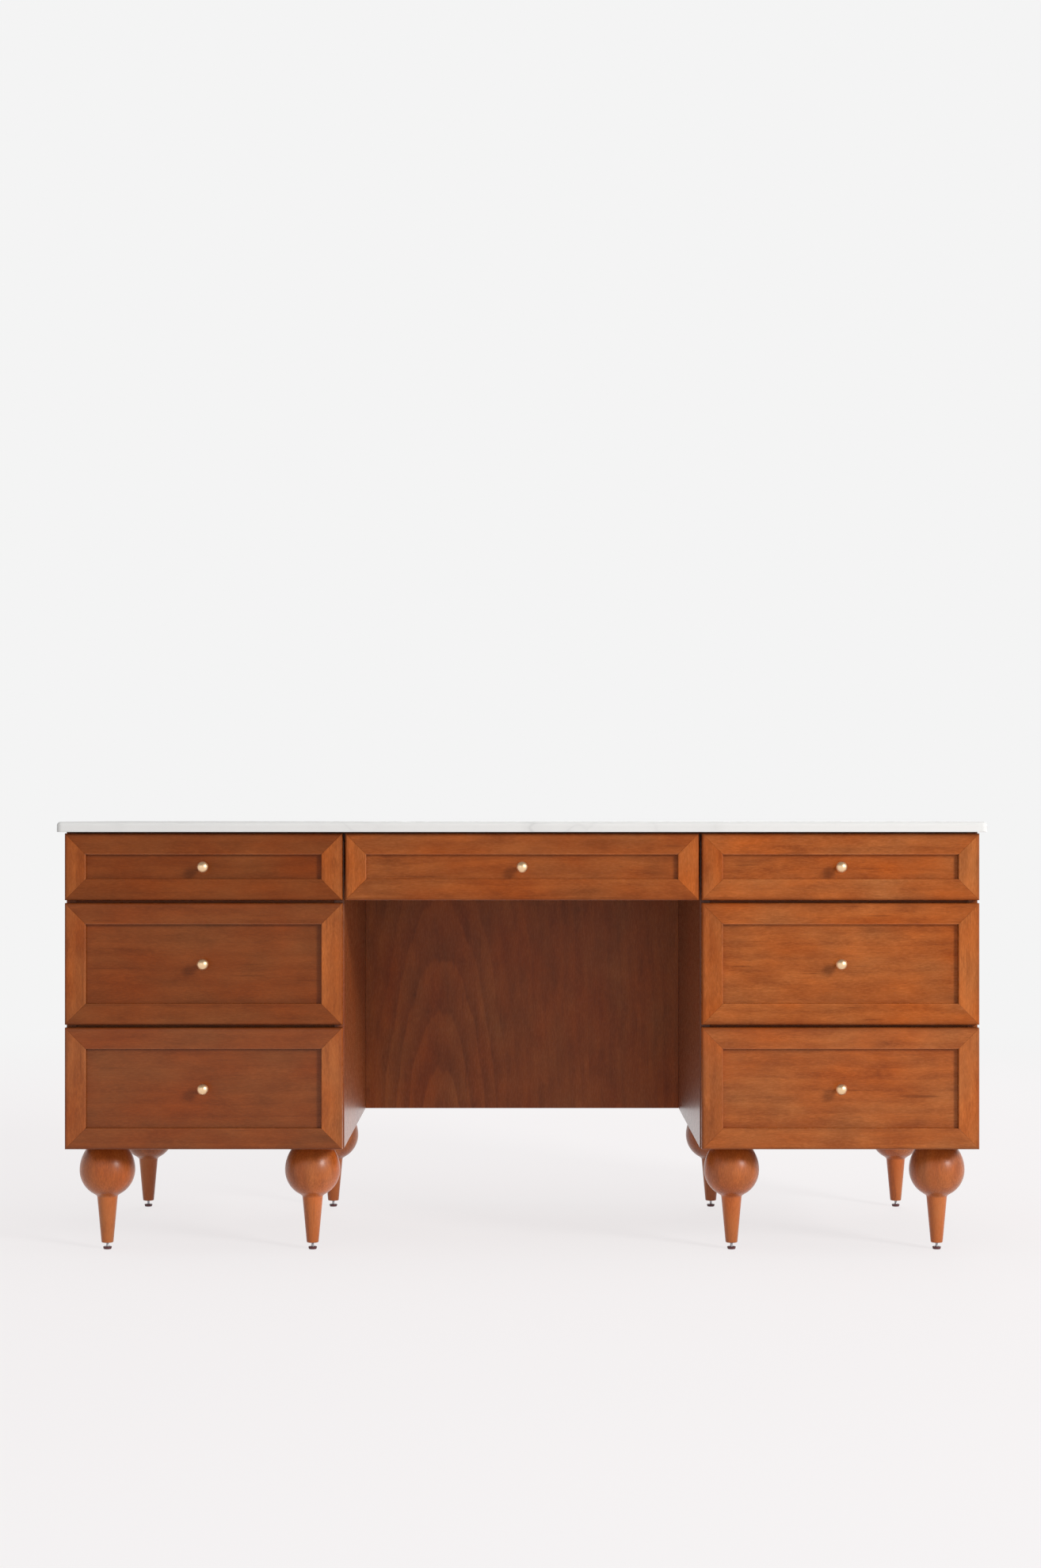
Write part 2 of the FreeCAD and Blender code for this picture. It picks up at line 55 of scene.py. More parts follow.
# Double-pedestal executive desk: the looks of its stone slab, stained wood, brass knobs, steel
# runners and screw-in feet. Metres, +Z up, front towards -Y.

bl_info = {
    "name": "Executive Desk",
    "version": (1, 0, 0),
    "blender": (4, 5, 0),
    "location": "View3D > Sidebar > Desk",
    "description": "Builds the visible pieces of a double-pedestal desk and their finishes",
    "category": "Object",
}

MM = 0.001
X, Y, Z = 0, 1, 2
RIGHT, LEFT = (1, 0, 0), (-1, 0, 0)
UP, DOWN = (0, 0, 1), (0, 0, -1)
FORWARD = (0, -1, 0)
TINY = 1e-7

BODY_NODES = frame["record"]["behaviour"]["bodies"]
DRAWERS = sorted(body for body in BODY_NODES if body.endswith("_drawer"))
LEGS = sorted(node for node in BODY_NODES["root"]
              if node.startswith("leg_") and node != "leg_bolts")
FEET = sorted(body for body in BODY_NODES if body.startswith("foot_"))


# Settings that a user can change


def length(name, description, default):
    """A length in metres, shown to a hundredth of a millimetre."""
    return FloatProperty(name=name, description=description, default=default, min=0.0,
                         unit="LENGTH", precision=5)


def share(name, description, default):
    """A share from nothing to all."""
    return FloatProperty(name=name, description=description, default=default, min=0.0, max=1.0,
                         subtype="FACTOR")


def colour(name, description, default):
    """A colour in linear light."""
    return FloatVectorProperty(name=name, description=description, default=default, size=3,
                               min=0.0, max=1.0, subtype="COLOR")


class DeskShape(PropertyGroup):
    """Sizes of the joinery and the turning."""

    frame_width: length("Frame width", "Width of the members round a drawer's panel", 0.037)
    panel_recess: length("Panel recess", "How far the panel lies behind the frame's face", 0.008)
    rebate: length("Rebate", "How far the panel reaches under the frame", 0.008)
    outer_round: length("Outer round", "Rounding of a front's outer edges", 0.004)
    inner_round: length("Inner round", "Rounding of the frame's inner edges", 0.0016)
    panel_gap: length("Panel gap", "Shadow gap between frame and panel", 0.0003)
    mitre_groove: length("Mitre groove", "Depth of the fine groove along each mitre", 0.00022)
    board_round: length("Board round", "Rounding of the boards' edges", 0.0009)
    butted_round: length("Butted round", "Rounding of edges that meet another board", 0.0003)
    lipping: length("Lipping", "Width of the solid strips on the board under the slab", 0.008)
    rail_height: length("Rail height", "Height of the rails between the drawers", 0.020)
    box_board: length("Box board", "Thickness of a drawer box's boards", 0.012)
    box_floor: length("Box floor", "Thickness of a drawer box's floor", 0.006)
    box_floor_raise: length("Floor raise", "Height of the floor over the box's lower edge", 0.010)
    slab_edge_round: length("Slab edge round", "Rounding of the slab's upper edge", 0.0065)
    slab_corner_round: length("Slab corner round", "Rounding of the slab's corners", 0.008)
    slab_arris: length("Slab arris", "Rounding of the slab's lower edge", 0.001)
    knob_length: length("Knob length", "From the panel to the tip of a knob", 0.028)
    runner_sheet: length("Runner sheet", "Thickness of the runners' steel", 0.0012)
    runner_space: length("Runner space", "Between a drawer box and the side of its bay", 0.0127)
    thread_pitch: length("Thread pitch", "Pitch of the levellers' threads", 0.0008)
    thread_depth: length("Thread depth", "Depth of the levellers' threads", 0.0004)
    turning_sides: IntProperty(name="Turning sides", description="Sides round a turned leg",
                               default=96, min=12, max=256)


class DeskWood(PropertyGroup):
    """Colours and figure of the stained wood and the drawer boxes' plywood."""

    deep_stain: colour("Deep stain", "Darkest streaks of the stained wood", (0.130, 0.0270, 0.0030))
    stain: colour("Stain", "Middle tone of the stained wood", (0.275, 0.0655, 0.0110))
    warm_stain: colour("Warm stain", "Lighter streaks of the stained wood", (0.435, 0.1150, 0.0210))
    # On the pegs, this paleness stands for painted light from the floor.
    pale_stain: colour("Pale stain", "Lightest streaks and the pegs of the legs",
                       (0.515, 0.1400, 0.0260))
    # Also the colour of the painted shade along the right stiles' inner edges.
    edge_stain: colour("Edge stain", "Stain gathered along the rounded edges",
                       (0.100, 0.0180, 0.0040))
    streak_length: length("Streak length", "Length of the wood's streaks", 0.010)
    streak_width: length("Streak width", "Width of the wood's streaks", 0.0022)
    streaks: share("Streaks", "Contrast of the fine streaks", 0.36)
    bands: share("Bands", "Contrast of the long soft bands", 0.38)
    blotches: share("Blotches", "Contrast of the soft blotches", 0.55)
    rings: share("Rings", "Contrast of the growth rings", 0.22)
    # edge_darkening also sets the strength of that painted shade.
    edge_darkening: share("Edge darkening", "How much stain gathers along edges", 0.35)
    polish: share("Polish", "Strength of the clear coat on legs, case boards and frame edges", 0.50)
    pale_veneer: colour("Pale veneer", "Face veneer of the boxes' plywood", (0.640, 0.450, 0.262))
    veneer_streak: colour("Veneer streak", "Darker streaks of that veneer", (0.500, 0.315, 0.165))
    veneer_fleck: colour("Veneer fleck", "Flecks in that veneer", (0.300, 0.170, 0.080))
    core_ply: colour("Core ply", "Darker layers of the boxes' plywood", (0.350, 0.205, 0.100))
    ply_layer: length("Ply layer", "Thickness of one layer of plywood", 0.0015)


class DeskStone(PropertyGroup):
    """Colours and veins of the slab."""

    stone: colour("Stone", "Ground colour of the slab", (0.755, 0.752, 0.742))
    vein: colour("Vein", "Colour of the veins", (0.480, 0.478, 0.480))
    vein_spacing: length("Vein spacing", "Rough distance between veins", 0.42)
    veins: share("Veins", "Strength of the veins", 0.40)


class DeskMetal(PropertyGroup):
    """Colours of knobs, runners, screws and feet."""

    brass: colour("Brass", "Satin brass of the knobs", (0.930, 0.670, 0.415))
    dull_brass: colour("Dull brass", "Darker clouds on the brass", (0.810, 0.530, 0.295))
    steel: colour("Steel", "Zinc-plated steel", (0.620, 0.630, 0.650))
    dull_steel: colour("Dull steel", "Darker crystals of the zinc", (0.440, 0.450, 0.480))
    foot_plastic: colour("Foot plastic", "Moulded plastic of the feet", (0.105, 0.026, 0.029))
    scuffed_plastic: colour("Scuffed plastic", "Where the feet are scuffed", (0.200, 0.120, 0.120))


class DeskStage(PropertyGroup):
    """Floor, lights and camera."""

    floor: colour("Floor", "Colour of the floor", (0.860, 0.850, 0.850))
    floor_mottle: colour("Floor mottle", "Faint darker clouds on the floor", (0.800, 0.790, 0.790))
    floor_glow: colour("Floor glow", "Colour that the camera sees mixed into the floor",
                       (0.958, 0.932, 0.937))
    backdrop: colour("Backdrop", "Colour behind the desk", (0.905, 0.905, 0.905))
    ceiling: colour("Ceiling", "Colour overhead, as it shows in reflections", (0.300, 0.290, 0.280))
    ambient: share("Ambient", "Strength of the light from all round", 0.38)
    key_watts: FloatProperty(name="Key light", description="Power of the large light at the right",
                             default=402.0, min=0.0, unit="POWER")
    camera_distance: length("Camera distance", "From the lens to the front of the case", 4.70)
    camera_height: length("Camera height", "Height of the lens over the floor", 0.769)
    focal_length: FloatProperty(name="Focal length", description="Lens on a 36 mm sensor, in mm",
                                default=61.4, min=1.0)


# Outlines and surfaces, worked out as whole arrays


def unit(vectors):
    """Vectors divided by their lengths; a zero vector stays zero."""
    lengths = np.linalg.norm(vectors, axis=-1, keepdims=True)
    return vectors / np.maximum(lengths, TINY)


class Outline:
    """A flat path through corners of two coordinates and, where one is rounded, its radius.

    At a corner where the path turns by an angle, an arc of so many steps and of the corner's
    radius touches both sides at radius times the tangent of half the turn. A point stands at
    the distance fringe on each side of an arc. wear is 1 in the middle of an arc, a half at its
    ends and 0 at those points.
    """

    def __init__(self, corners, steps=4, fringe=0.0, closed=False):
        radii = np.array([corner[2] if len(corner) > 2 else 0.0 for corner in corners])
        corners = np.array([corner[:2] for corner in corners], float)
        if not closed:
            radii[[0, -1]] = 0.0
        before = unit(corners - np.roll(corners, 1, axis=0))
        after = unit(np.roll(corners, -1, axis=0) - corners)
        crossed = before[:, 0] * after[:, 1] - before[:, 1] * after[:, 0]
        turn = np.arctan2(crossed, (before * after).sum(1))
        inward = np.stack([-before[:, 1], before[:, 0]], axis=1) * np.sign(turn)[:, None]
        start = corners - before * (radii * np.tan(np.abs(turn) / 2))[:, None]
        centre = start + inward * radii[:, None]
        part = np.linspace(0.0, 1.0, steps + 1)
        angle = turn[:, None] * part
        spoke = -inward[:, None, :]
        turned_spoke = np.stack([
            spoke[..., 0] * np.cos(angle) - spoke[..., 1] * np.sin(angle),
            spoke[..., 0] * np.sin(angle) + spoke[..., 1] * np.cos(angle)], axis=-1)
        arc = centre[:, None] + turned_spoke * radii[:, None, None]
        has_arc = radii[:, None] > 0
        reach = fringe * has_arc
        points = np.concatenate([
            arc[:, :1] - (before * reach)[:, None], arc,
            arc[:, -1:] + (after * reach)[:, None]], axis=1).reshape(-1, 2)
        normals = np.concatenate([turned_spoke[:, :1], turned_spoke, turned_spoke[:, -1:]], axis=1)
        normals *= np.sign(turn)[:, None, None]
        arc_wear = (0.5 + 0.5 * np.sin(np.pi * part)) * has_arc
        none = np.zeros((len(corners), 1))
        wear = np.concatenate([none, arc_wear, none], axis=1)
        kept = np.linalg.norm(points - np.roll(points, 1, axis=0), axis=1) > TINY
        if not closed:
            kept[0] = True
        self.points = points[kept]
        self.normals = normals.reshape(-1, 2)[kept]
        self.wear = wear.ravel()[kept]


class Shell:
    """A closed skin: rings of points stacked in rows, with a flat cap on the first and last.

    grain holds each point's place along, across and through the stuff, in metres. The order of
    the points is reversed if the volume inside, a sum of triple products, comes out negative.
    wear, tone, polish and arches hold one value for all points or one for each.
    """

    def __init__(self, points, grain, wear=0.0, tone=0.0):
        wear = np.broadcast_to(wear, points.shape[:2])
        if self.volume(points) < 0:
            points, grain, wear = points[:, ::-1], grain[:, ::-1], wear[:, ::-1]
        self.points, self.grain, self.wear = points, grain, wear
        self.tone = tone
        self.polish = 0.0
        self.arches = 0.0

    @staticmethod
    def volume(points):
        """Six times the volume inside the rings and their caps."""
        low, high = points[:-1], points[1:]
        low_next, high_next = np.roll(low, -1, axis=1), np.roll(high, -1, axis=1)
        sides = np.einsum("rcx,rcx->", low, np.cross(low_next, high_next))
        sides += np.einsum("rcx,rcx->", low, np.cross(high_next, high))
        caps = 0.0
        for ring, sign in ((points[0], -1.0), (points[-1], 1.0)):
            middle = ring.mean(0)
            caps += sign * (np.cross(ring, np.roll(ring, -1, axis=0)) @ middle).sum()
        return sides + caps

    def faces(self, first):
        """Corner numbers of the four-sided faces and of the two caps, counted from first."""
        rows, columns = self.points.shape[:2]
        number = first + np.arange(rows * columns).reshape(rows, columns)
        low, high = number[:-1], number[1:]
        quads = np.stack([low, np.roll(low, -1, axis=1), np.roll(high, -1, axis=1), high], axis=-1)
        return [quads.reshape(-1, 4), number[:1, ::-1], number[-1:]]


def joined(arrays):
    """The numbers of several arrays in one row."""
    return np.concatenate([np.ravel(array) for array in arrays])


def piece(name, shells, maker, body, *nodes):
    """Shells become one object, which rides on a body and stands for the given nodes.

    Its material is the one that the maker makes, named after the maker.
    """
    mesh = bpy.data.meshes.new(name)
    counts = [len(shell.points) * len(shell.points[0]) for shell in shells]
    firsts = np.cumsum([0] + counts[:-1])
    groups = [group for shell, first in zip(shells, firsts) for group in shell.faces(first)]
    sizes = joined(np.full(len(group), len(group[0])) for group in groups)
    loops = joined(groups)
    mesh.vertices.add(sum(counts))
    mesh.vertices.foreach_set("co", joined(shell.points for shell in shells))
    mesh.loops.add(len(loops))
    mesh.loops.foreach_set("vertex_index", loops)
    mesh.polygons.add(len(sizes))
    mesh.polygons.foreach_set("loop_start", np.cumsum(sizes) - sizes)
    mesh.update(calc_edges=True)
    grain = mesh.attributes.new("grain", "FLOAT_VECTOR", "POINT")
    grain.data.foreach_set("vector", joined(shell.grain for shell in shells))
    for quality in ("wear", "tone", "polish", "arches"):
        layer = mesh.attributes.new(quality, "FLOAT", "POINT")
        layer.data.foreach_set("value", joined(
            np.broadcast_to(getattr(shell, quality), shell.points.shape[:2]) for shell in shells))
    mesh.shade_smooth()
    mesh.materials.append(finish(maker))
    made = bpy.data.objects.new(name, mesh)
    bpy.context.scene.collection.objects.link(made)
    smooth = made.modifiers.new("even_shading", "WEIGHTED_NORMAL")
    smooth.weight = 90
    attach(made, body)
    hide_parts(*nodes)


def log_offset(name):
    """Where in the log a board was sawn: anywhere along it, well to one side of the heart.

    The numbers come from a generator that always starts the same way for one name.
    """
    draw = np.random.default_rng(zlib.crc32(name.encode()))
    return np.array([draw.uniform(0, 3), draw.uniform(0.10, 0.22), draw.uniform(0.03, 0.11)])


def board(low, high, along, thin, edge=None, corner=None, lower_edge=None, offset=(0, 0, 0),
          tone=0.0):
    """A board between two corners, with all its edges rounded.

    Its outline is a rectangle with rounded corners, which moves inwards by an arc's sine while
    the height rises by the arc's versed cosine, at the lower and then at the upper edge. Where
    that goes past a corner's radius, the corner's points move on along the diagonal instead.
    """
    edge = bpy.context.scene.desk_shape.board_round if edge is None else edge
    lower_edge = edge if lower_edge is None else lower_edge
    corner_to_edge, fringe_to_board = 1.25, 0.22
    corner = corner_to_edge * max(edge, lower_edge) if corner is None else corner
    low, high = np.asarray(low, float), np.asarray(high, float)
    span = high - low
    across = 3 - along - thin
    run, width, thick = span[[along, across, thin]]
    fringe = min(3 * MM, fringe_to_board * span.min())
    wide = Outline([(0, 0, corner), (run, 0, corner), (run, width, corner), (0, width, corner)],
                   3, fringe, closed=True)
    inset = edge + fringe
    rise = Outline([(inset, 0), (0, 0, lower_edge), (0, thick, edge), (inset, thick)], 3, fringe)
    diagonal = np.sign(np.array([run, width]) / 2 - wide.points)
    step = rise.points[:, :1]
    least_radius = 0.05 * MM
    past = np.where(wide.wear > 0, np.maximum(step - corner + least_radius, 0.0), 0.0)
    flat = wide.points - (step - past)[..., None] * wide.normals + past[..., None] * diagonal
    points = np.empty(flat.shape[:2] + (3,))
    points[..., along] = low[along] + flat[..., 0]
    points[..., across] = low[across] + flat[..., 1]
    points[..., thin] = (low[thin] + rise.points[:, 1])[:, None]
    grain = (points - (low + high) / 2)[..., [along, across, thin]] + np.asarray(offset)
    off_cap = np.ones(len(rise.points))
    off_cap[[0, -1]] = 0.0
    wear = np.maximum(rise.wear[:, None], wide.wear * off_cap[:, None])
    return Shell(points, grain, wear, tone)


def turned(profile, centre, axis, sides, wear=0.0, offset=(0, 0, 0), depth=0.0):
    """A profile of radius and height turned about an axis through a centre.

    A point is the centre plus its height along the axis, plus its radius times the cosine and
    the sine of the angle across it. depth, less than nothing in a groove, adds to the radius.
    """
    axis = np.asarray(axis, float)
    helper = np.array(RIGHT if abs(axis[X]) < 0.5 else (0, 1, 0), float)
    first = unit(np.cross(axis, helper))
    second = np.cross(axis, first)
    angle = np.linspace(0, 2 * np.pi, sides, endpoint=False)
    radius = profile[:, :1] + depth
    across = radius * np.cos(angle)
    aside = radius * np.sin(angle)
    height = np.broadcast_to(profile[:, 1:], across.shape)
    points = (np.asarray(centre) + height[..., None] * axis + across[..., None] * first
              + aside[..., None] * second)
    grain = np.stack([height, across, aside], axis=-1) + np.asarray(offset)
    return Shell(points, grain, np.reshape(wear, (-1, 1)))


def carried(section, start, end, across, through):
    """A closed flat section carried straight from one point to another."""
    start, end = np.asarray(start, float), np.asarray(end, float)
    place = section[:, :1] * np.asarray(across) + section[:, 1:] * np.asarray(through)
    points = np.stack([start + place, end + place])
    along = np.array([[0.0], [np.linalg.norm(end - start)]]) * np.ones(len(section))
    flat = np.broadcast_to(section, (2, *section.shape))
    return Shell(points, np.concatenate([along[..., None], flat], axis=-1))


def arc_to(start, end, level, steps=14):
    """Points of an arc whose centre lies at a given height, from start to end."""
    start, end = np.asarray(start, float), np.asarray(end, float)
    rise = (end[1] - level) ** 2 - (start[1] - level) ** 2
    centre = np.array([(end[0] ** 2 - start[0] ** 2 + rise) / (2 * (end[0] - start[0])), level])
    first, last = (math.atan2(*(point - centre)[::-1]) for point in (start, end))
    angle = np.linspace(first, last, steps + 1)
    return centre + np.hypot(*(start - centre)) * np.stack([np.cos(angle), np.sin(angle)], axis=1)


# Shader maths


class Wire:
    """One output of a shader node; arithmetic on it adds Math or Vector Math nodes."""

    def __init__(self, kit, socket):
        self.kit = kit
        self.socket = socket

    def is_vector(self):
        """Whether the output is a vector."""
        return self.socket.type == "VECTOR"

    def join(self, operation, left, right):
        """A node that works on two values, as vectors if either is one."""
        sides = (left, right)
        if any(side.is_vector() if isinstance(side, Wire) else isinstance(side, tuple)
               for side in sides):
            kind = "ShaderNodeVectorMath"
            sides = [side if isinstance(side, (Wire, tuple)) else (side,) * 3 for side in sides]
        else:
            kind = "ShaderNodeMath"
        return self.kit.node(kind, {"operation": operation}, dict(enumerate(sides)))

    def __add__(self, other):
        return self.join("ADD", self, other)

    def __radd__(self, other):
        return self.join("ADD", other, self)

    def __sub__(self, other):
        return self.join("SUBTRACT", self, other)

    def __rsub__(self, other):
        return self.join("SUBTRACT", other, self)

    def __mul__(self, other):
        return self.join("MULTIPLY", self, other)

    def __rmul__(self, other):
        return self.join("MULTIPLY", other, self)

    def __truediv__(self, other):
        return self.join("DIVIDE", self, other)


class Kit:
    """Nodes of a material or the world: all come from node(), the rest are short names for it."""

    def __init__(self, owner):
        owner.use_nodes = True
        self.tree = owner.node_tree
        self.tree.nodes.clear()

    def node(self, kind, settings=None, sockets=None, output=0):
        """A node of a kind: its settings first, then the values or links of its sockets."""
        made = self.tree.nodes.new(kind)
        for name, value in (settings or {}).items():
            if name == "stops":
                ramp = made.color_ramp
                while len(ramp.elements) < len(value):
                    ramp.elements.new(1.0)
                for element, (position, shade) in zip(ramp.elements, value):
                    element.position = position
                    element.color = (*shade, 1.0)
            else:
                setattr(made, name, value)
        for name, value in (sockets or {}).items():
            socket = made.inputs[name]
            if isinstance(value, Wire):
                self.tree.links.new(value.socket, socket)
            else:
                socket.default_value = (*value, 1.0) if socket.type == "RGBA" else value
        return Wire(self, made.outputs[output]) if made.outputs else made

    def attribute(self, name, output="Fac"):
        """A number or vector that each point of the piece holds."""
        return self.node("ShaderNodeAttribute", {"attribute_name": name}, output=output)

    def grain(self):
        """Each point's place along, across and through the stuff."""
        return self.attribute("grain", "Vector")

    def place(self):
        """Object coordinates, which are the desk's own frame."""
        return self.node("ShaderNodeTexCoord", output="Object")

    def along(self, vector, axis):
        """One coordinate of a vector."""
        return self.node("ShaderNodeSeparateXYZ", None, {0: vector}, axis)

    def combined(self, first, second, third):
        """A vector from its three coordinates."""
        return self.node("ShaderNodeCombineXYZ", None, {0: first, 1: second, 2: third})

    def reach(self, vector):
        """The length of a vector."""
        return self.node("ShaderNodeVectorMath", {"operation": "LENGTH"}, {0: vector}, "Value")

    def noise(self, vector, detail=2.0, roughness=0.5, output="Fac"):
        """Noise whose bumps are about one unit of the vector across."""
        return self.node("ShaderNodeTexNoise", None, {
            "Vector": vector, "Scale": 1.0, "Detail": detail, "Roughness": roughness}, output)

    def fibrous(self, grain, along, across, detail=2.0, roughness=0.5, shift=None):
        """Noise drawn out along the grain, with so many bumps a metre along and across it."""
        place = grain * (along, across, across)
        return self.noise(place + shift if shift else place, detail, roughness)

    def maths(self, operation, *values, clamp=False):
        """A Math node."""
        return self.node("ShaderNodeMath", {"operation": operation, "use_clamp": clamp},
                         dict(enumerate(values)))

    def limited(self, value):
        """The value, kept from 0 to 1."""
        return self.maths("ADD", value, 0.0, clamp=True)

    def smooth(self, value, low, high):
        """0 below low, 1 above high and a soft step between."""
        return self.node("ShaderNodeMapRange", {"interpolation_type": "SMOOTHSTEP"}, {
            "Value": value, "From Min": low, "From Max": high, "To Min": 0.0, "To Max": 1.0})

    def mixed(self, amount, first, second):
        """The first colour, changing to the second as the amount goes from 0 to 1."""
        sockets = {0: amount, 6: first, 7: second}
        return self.node("ShaderNodeMix", {"data_type": "RGBA"}, sockets, 2)

    def stepped(self, value, *stops):
        """A colour from a ramp of positions and colours."""
        return self.node("ShaderNodeValToRGB", {"stops": stops}, {"Fac": value})

    def seen(self):
        """1 for a ray from the camera or in a reflection or refraction, 0 for one that lights."""
        rays = [self.node("ShaderNodeLightPath", output=ray)
                for ray in ("Is Camera Ray", "Is Glossy Ray", "Is Transmission Ray")]
        return self.limited(rays[0] + rays[1] + rays[2])

    def bumped(self, height, distance, strength):
        """A normal from a height of 0 to 1, which stands for a distance in metres."""
        return self.node("ShaderNodeBump", None, {
            "Height": height, "Distance": distance, "Strength": strength}, "Normal")

    def surface(self, **sockets):
        """The principled shader, joined to the output; underscores stand for blanks."""
        names = {name.replace("_", " "): value for name, value in sockets.items()}
        self.shown(self.node("ShaderNodeBsdfPrincipled", None, names))

    def shown(self, shader, kind="ShaderNodeOutputMaterial"):
        """Joins a shader to the output."""
        self.node(kind, None, {"Surface": shader})


def finish(maker):
    """The material that a function makes, made once and named after it."""
    name = "desk_" + maker.__name__
    material = bpy.data.materials.get(name)
    if material is None:
        material = bpy.data.materials.new(name)
        maker(Kit(material))
    return material


def figured(kit, grain, wood):
    """Numbers of a wood's figure at a place in the log: streaks, fibres, bands, blotches, rings,
    flecks.

    Slow noise bends the fibres. Streaks, fibres and bands are noise drawn out along the log, and
    flecks are the peaks of a finer drawn-out noise. Rings grow paler through each step of the
    distance from the heart, swayed by noise, and it leans in arched boards, where they are
    strongest and fade well away from it.
    """
    drift = kit.noise(grain * (4.5, 9.0, 9.0), 1.0, output="Color")
    bent = grain + (drift - (0.5, 0.5, 0.5)) * (0.0, 0.016, 0.016)
    streaks = kit.fibrous(bent, 1 / wood.streak_length, 1 / wood.streak_width, 2.5, 0.60)
    fibres = kit.fibrous(bent, 90.0, 2600.0, 1.0)
    bands = kit.fibrous(bent, 18.0, 80.0)
    blotches = kit.fibrous(grain, 14.0, 26.0)
    arches = kit.attribute("arches")
    radius = kit.reach(bent * kit.combined(arches * 0.19, 1.0, 1.0))
    sway = kit.fibrous(grain, 6.5, 60.0)
    rings_per_metre = 48.0
    ring = kit.maths("FRACT", radius * rings_per_metre + streaks * 0.08 + sway * 0.55)
    rise = kit.smooth(ring, 0.0, 0.86) * (1 - kit.smooth(ring, 0.90, 1.0))
    rings = (rise - 0.45) * (0.42 + arches * 0.78 * (1 - kit.smooth(radius, 0.10, 0.16)))
    flecks = kit.smooth(kit.fibrous(bent, 110.0, 1150.0, 0.0), 0.72, 0.80)
    return streaks, fibres, bands, blotches, rings, flecks


def stained_wood(kit):
    """Red-brown stain under satin lacquer: darker where stain gathers along rounded outer edges,
    and with painted shade along the right stiles' inner edges (wear over 0); paler with a painted
    highlight along the frames' other inner edges (wear under 0). The figure, a weighted sum of its
    numbers less their means, shows more in paler boards, and a slow noise shifts the hue."""
    wood = bpy.context.scene.desk_wood
    grain = kit.grain()
    streaks, fibres, bands, blotches, rings, flecks = figured(kit, grain, wood)
    wear, tone, polish = (kit.attribute(name) for name in ("wear", "tone", "polish"))
    patches = kit.fibrous(grain, 11.0, 38.0, 1.0, shift=(2.0, 6.0, 3.0))
    figure = ((streaks - 0.5) * wood.streaks * (0.8 * kit.smooth(patches, 0.38, 0.68) + 1.1)
              + (bands - 0.5) * wood.bands
              + (blotches - 0.5) * wood.blotches
              + rings * wood.rings
              + (fibres - 0.5) * 0.12)
    contrast = kit.maths("MINIMUM", kit.maths("MAXIMUM", 1.0 + 1.5 * tone, 0.4), 1.6)
    # painted highlight: wear under 0 comes only from the frames' inner edges, which it lightens
    painted_highlight = kit.maths("MINIMUM", wear, 0.0) * 0.5
    level = tone + 0.5 + figure * contrast - painted_highlight
    stain = kit.stepped(level * 0.8, (0.0, wood.deep_stain), (0.4, wood.stain),
                        (0.8, wood.warm_stain), (1.0, wood.pale_stain))
    # gathered: stain along rounded outer edges, and painted shade along the right stiles' inner
    # edges
    gathered = kit.limited(wear * wood.edge_darkening * (streaks * 0.8 + 0.6))
    stain = kit.mixed(gathered, stain, wood.edge_stain)
    lines = kit.smooth(kit.fibrous(grain, 9.0, 170.0, 1.0, shift=(3.0, 5.0, 1.0)), 0.66, 0.80)
    marks = kit.limited((flecks * 0.5 + lines * 0.55) * (1 - polish * 0.4))
    stain = kit.mixed(marks, stain, wood.deep_stain)
    hue = kit.fibrous(grain, 7.0, 16.0, shift=(1.0, 9.0, 4.0)) - 0.5
    stain = stain * kit.combined(1.0 - hue * 0.10, 1.0 + hue * 0.65, 1.1 + hue * 2.2)
    kit.surface(
        Base_Color=stain,
        Roughness=0.27 + (streaks - 0.5) * 0.10 + flecks * 0.15,
        Specular_IOR_Level=0.13,
        Coat_Weight=kit.limited(polish * wood.polish),
        Coat_Roughness=0.38,
        Normal=kit.bumped(fibres * 0.6 + streaks * 0.4 - flecks * 0.8, 0.04 * MM, 0.5))


def pale_plywood(kit):
    """Clear-lacquered plywood: layers in turn pale and darker through the board."""
    wood = bpy.context.scene.desk_wood
    grain = kit.grain()
    streaks, fibres, bands, blotches, _, flecks = figured(kit, grain, wood)
    wobble = (streaks - 0.5) * (0.12 * MM)
    layer = kit.maths("PINGPONG", kit.along(grain, "Z") + wobble, wood.ply_layer) / wood.ply_layer
    amount = kit.limited((streaks - 0.5) * 1.2 + (bands - 0.5) * 1.4 + blotches * 0.3 + 0.1)
    face = kit.mixed(amount, wood.pale_veneer, wood.veneer_streak)
    layers = kit.mixed(kit.smooth(layer, 0.42, 0.58), face, wood.core_ply)
    kit.surface(
        Base_Color=kit.mixed(flecks * 0.3, layers, wood.veneer_fleck),
        Roughness=0.44 + (streaks - 0.5) * 0.14,
        Coat_Weight=0.08,
        Coat_Roughness=0.3,
        Normal=kit.bumped(fibres * 0.6 + streaks * 0.4, 0.06 * MM, 0.6))


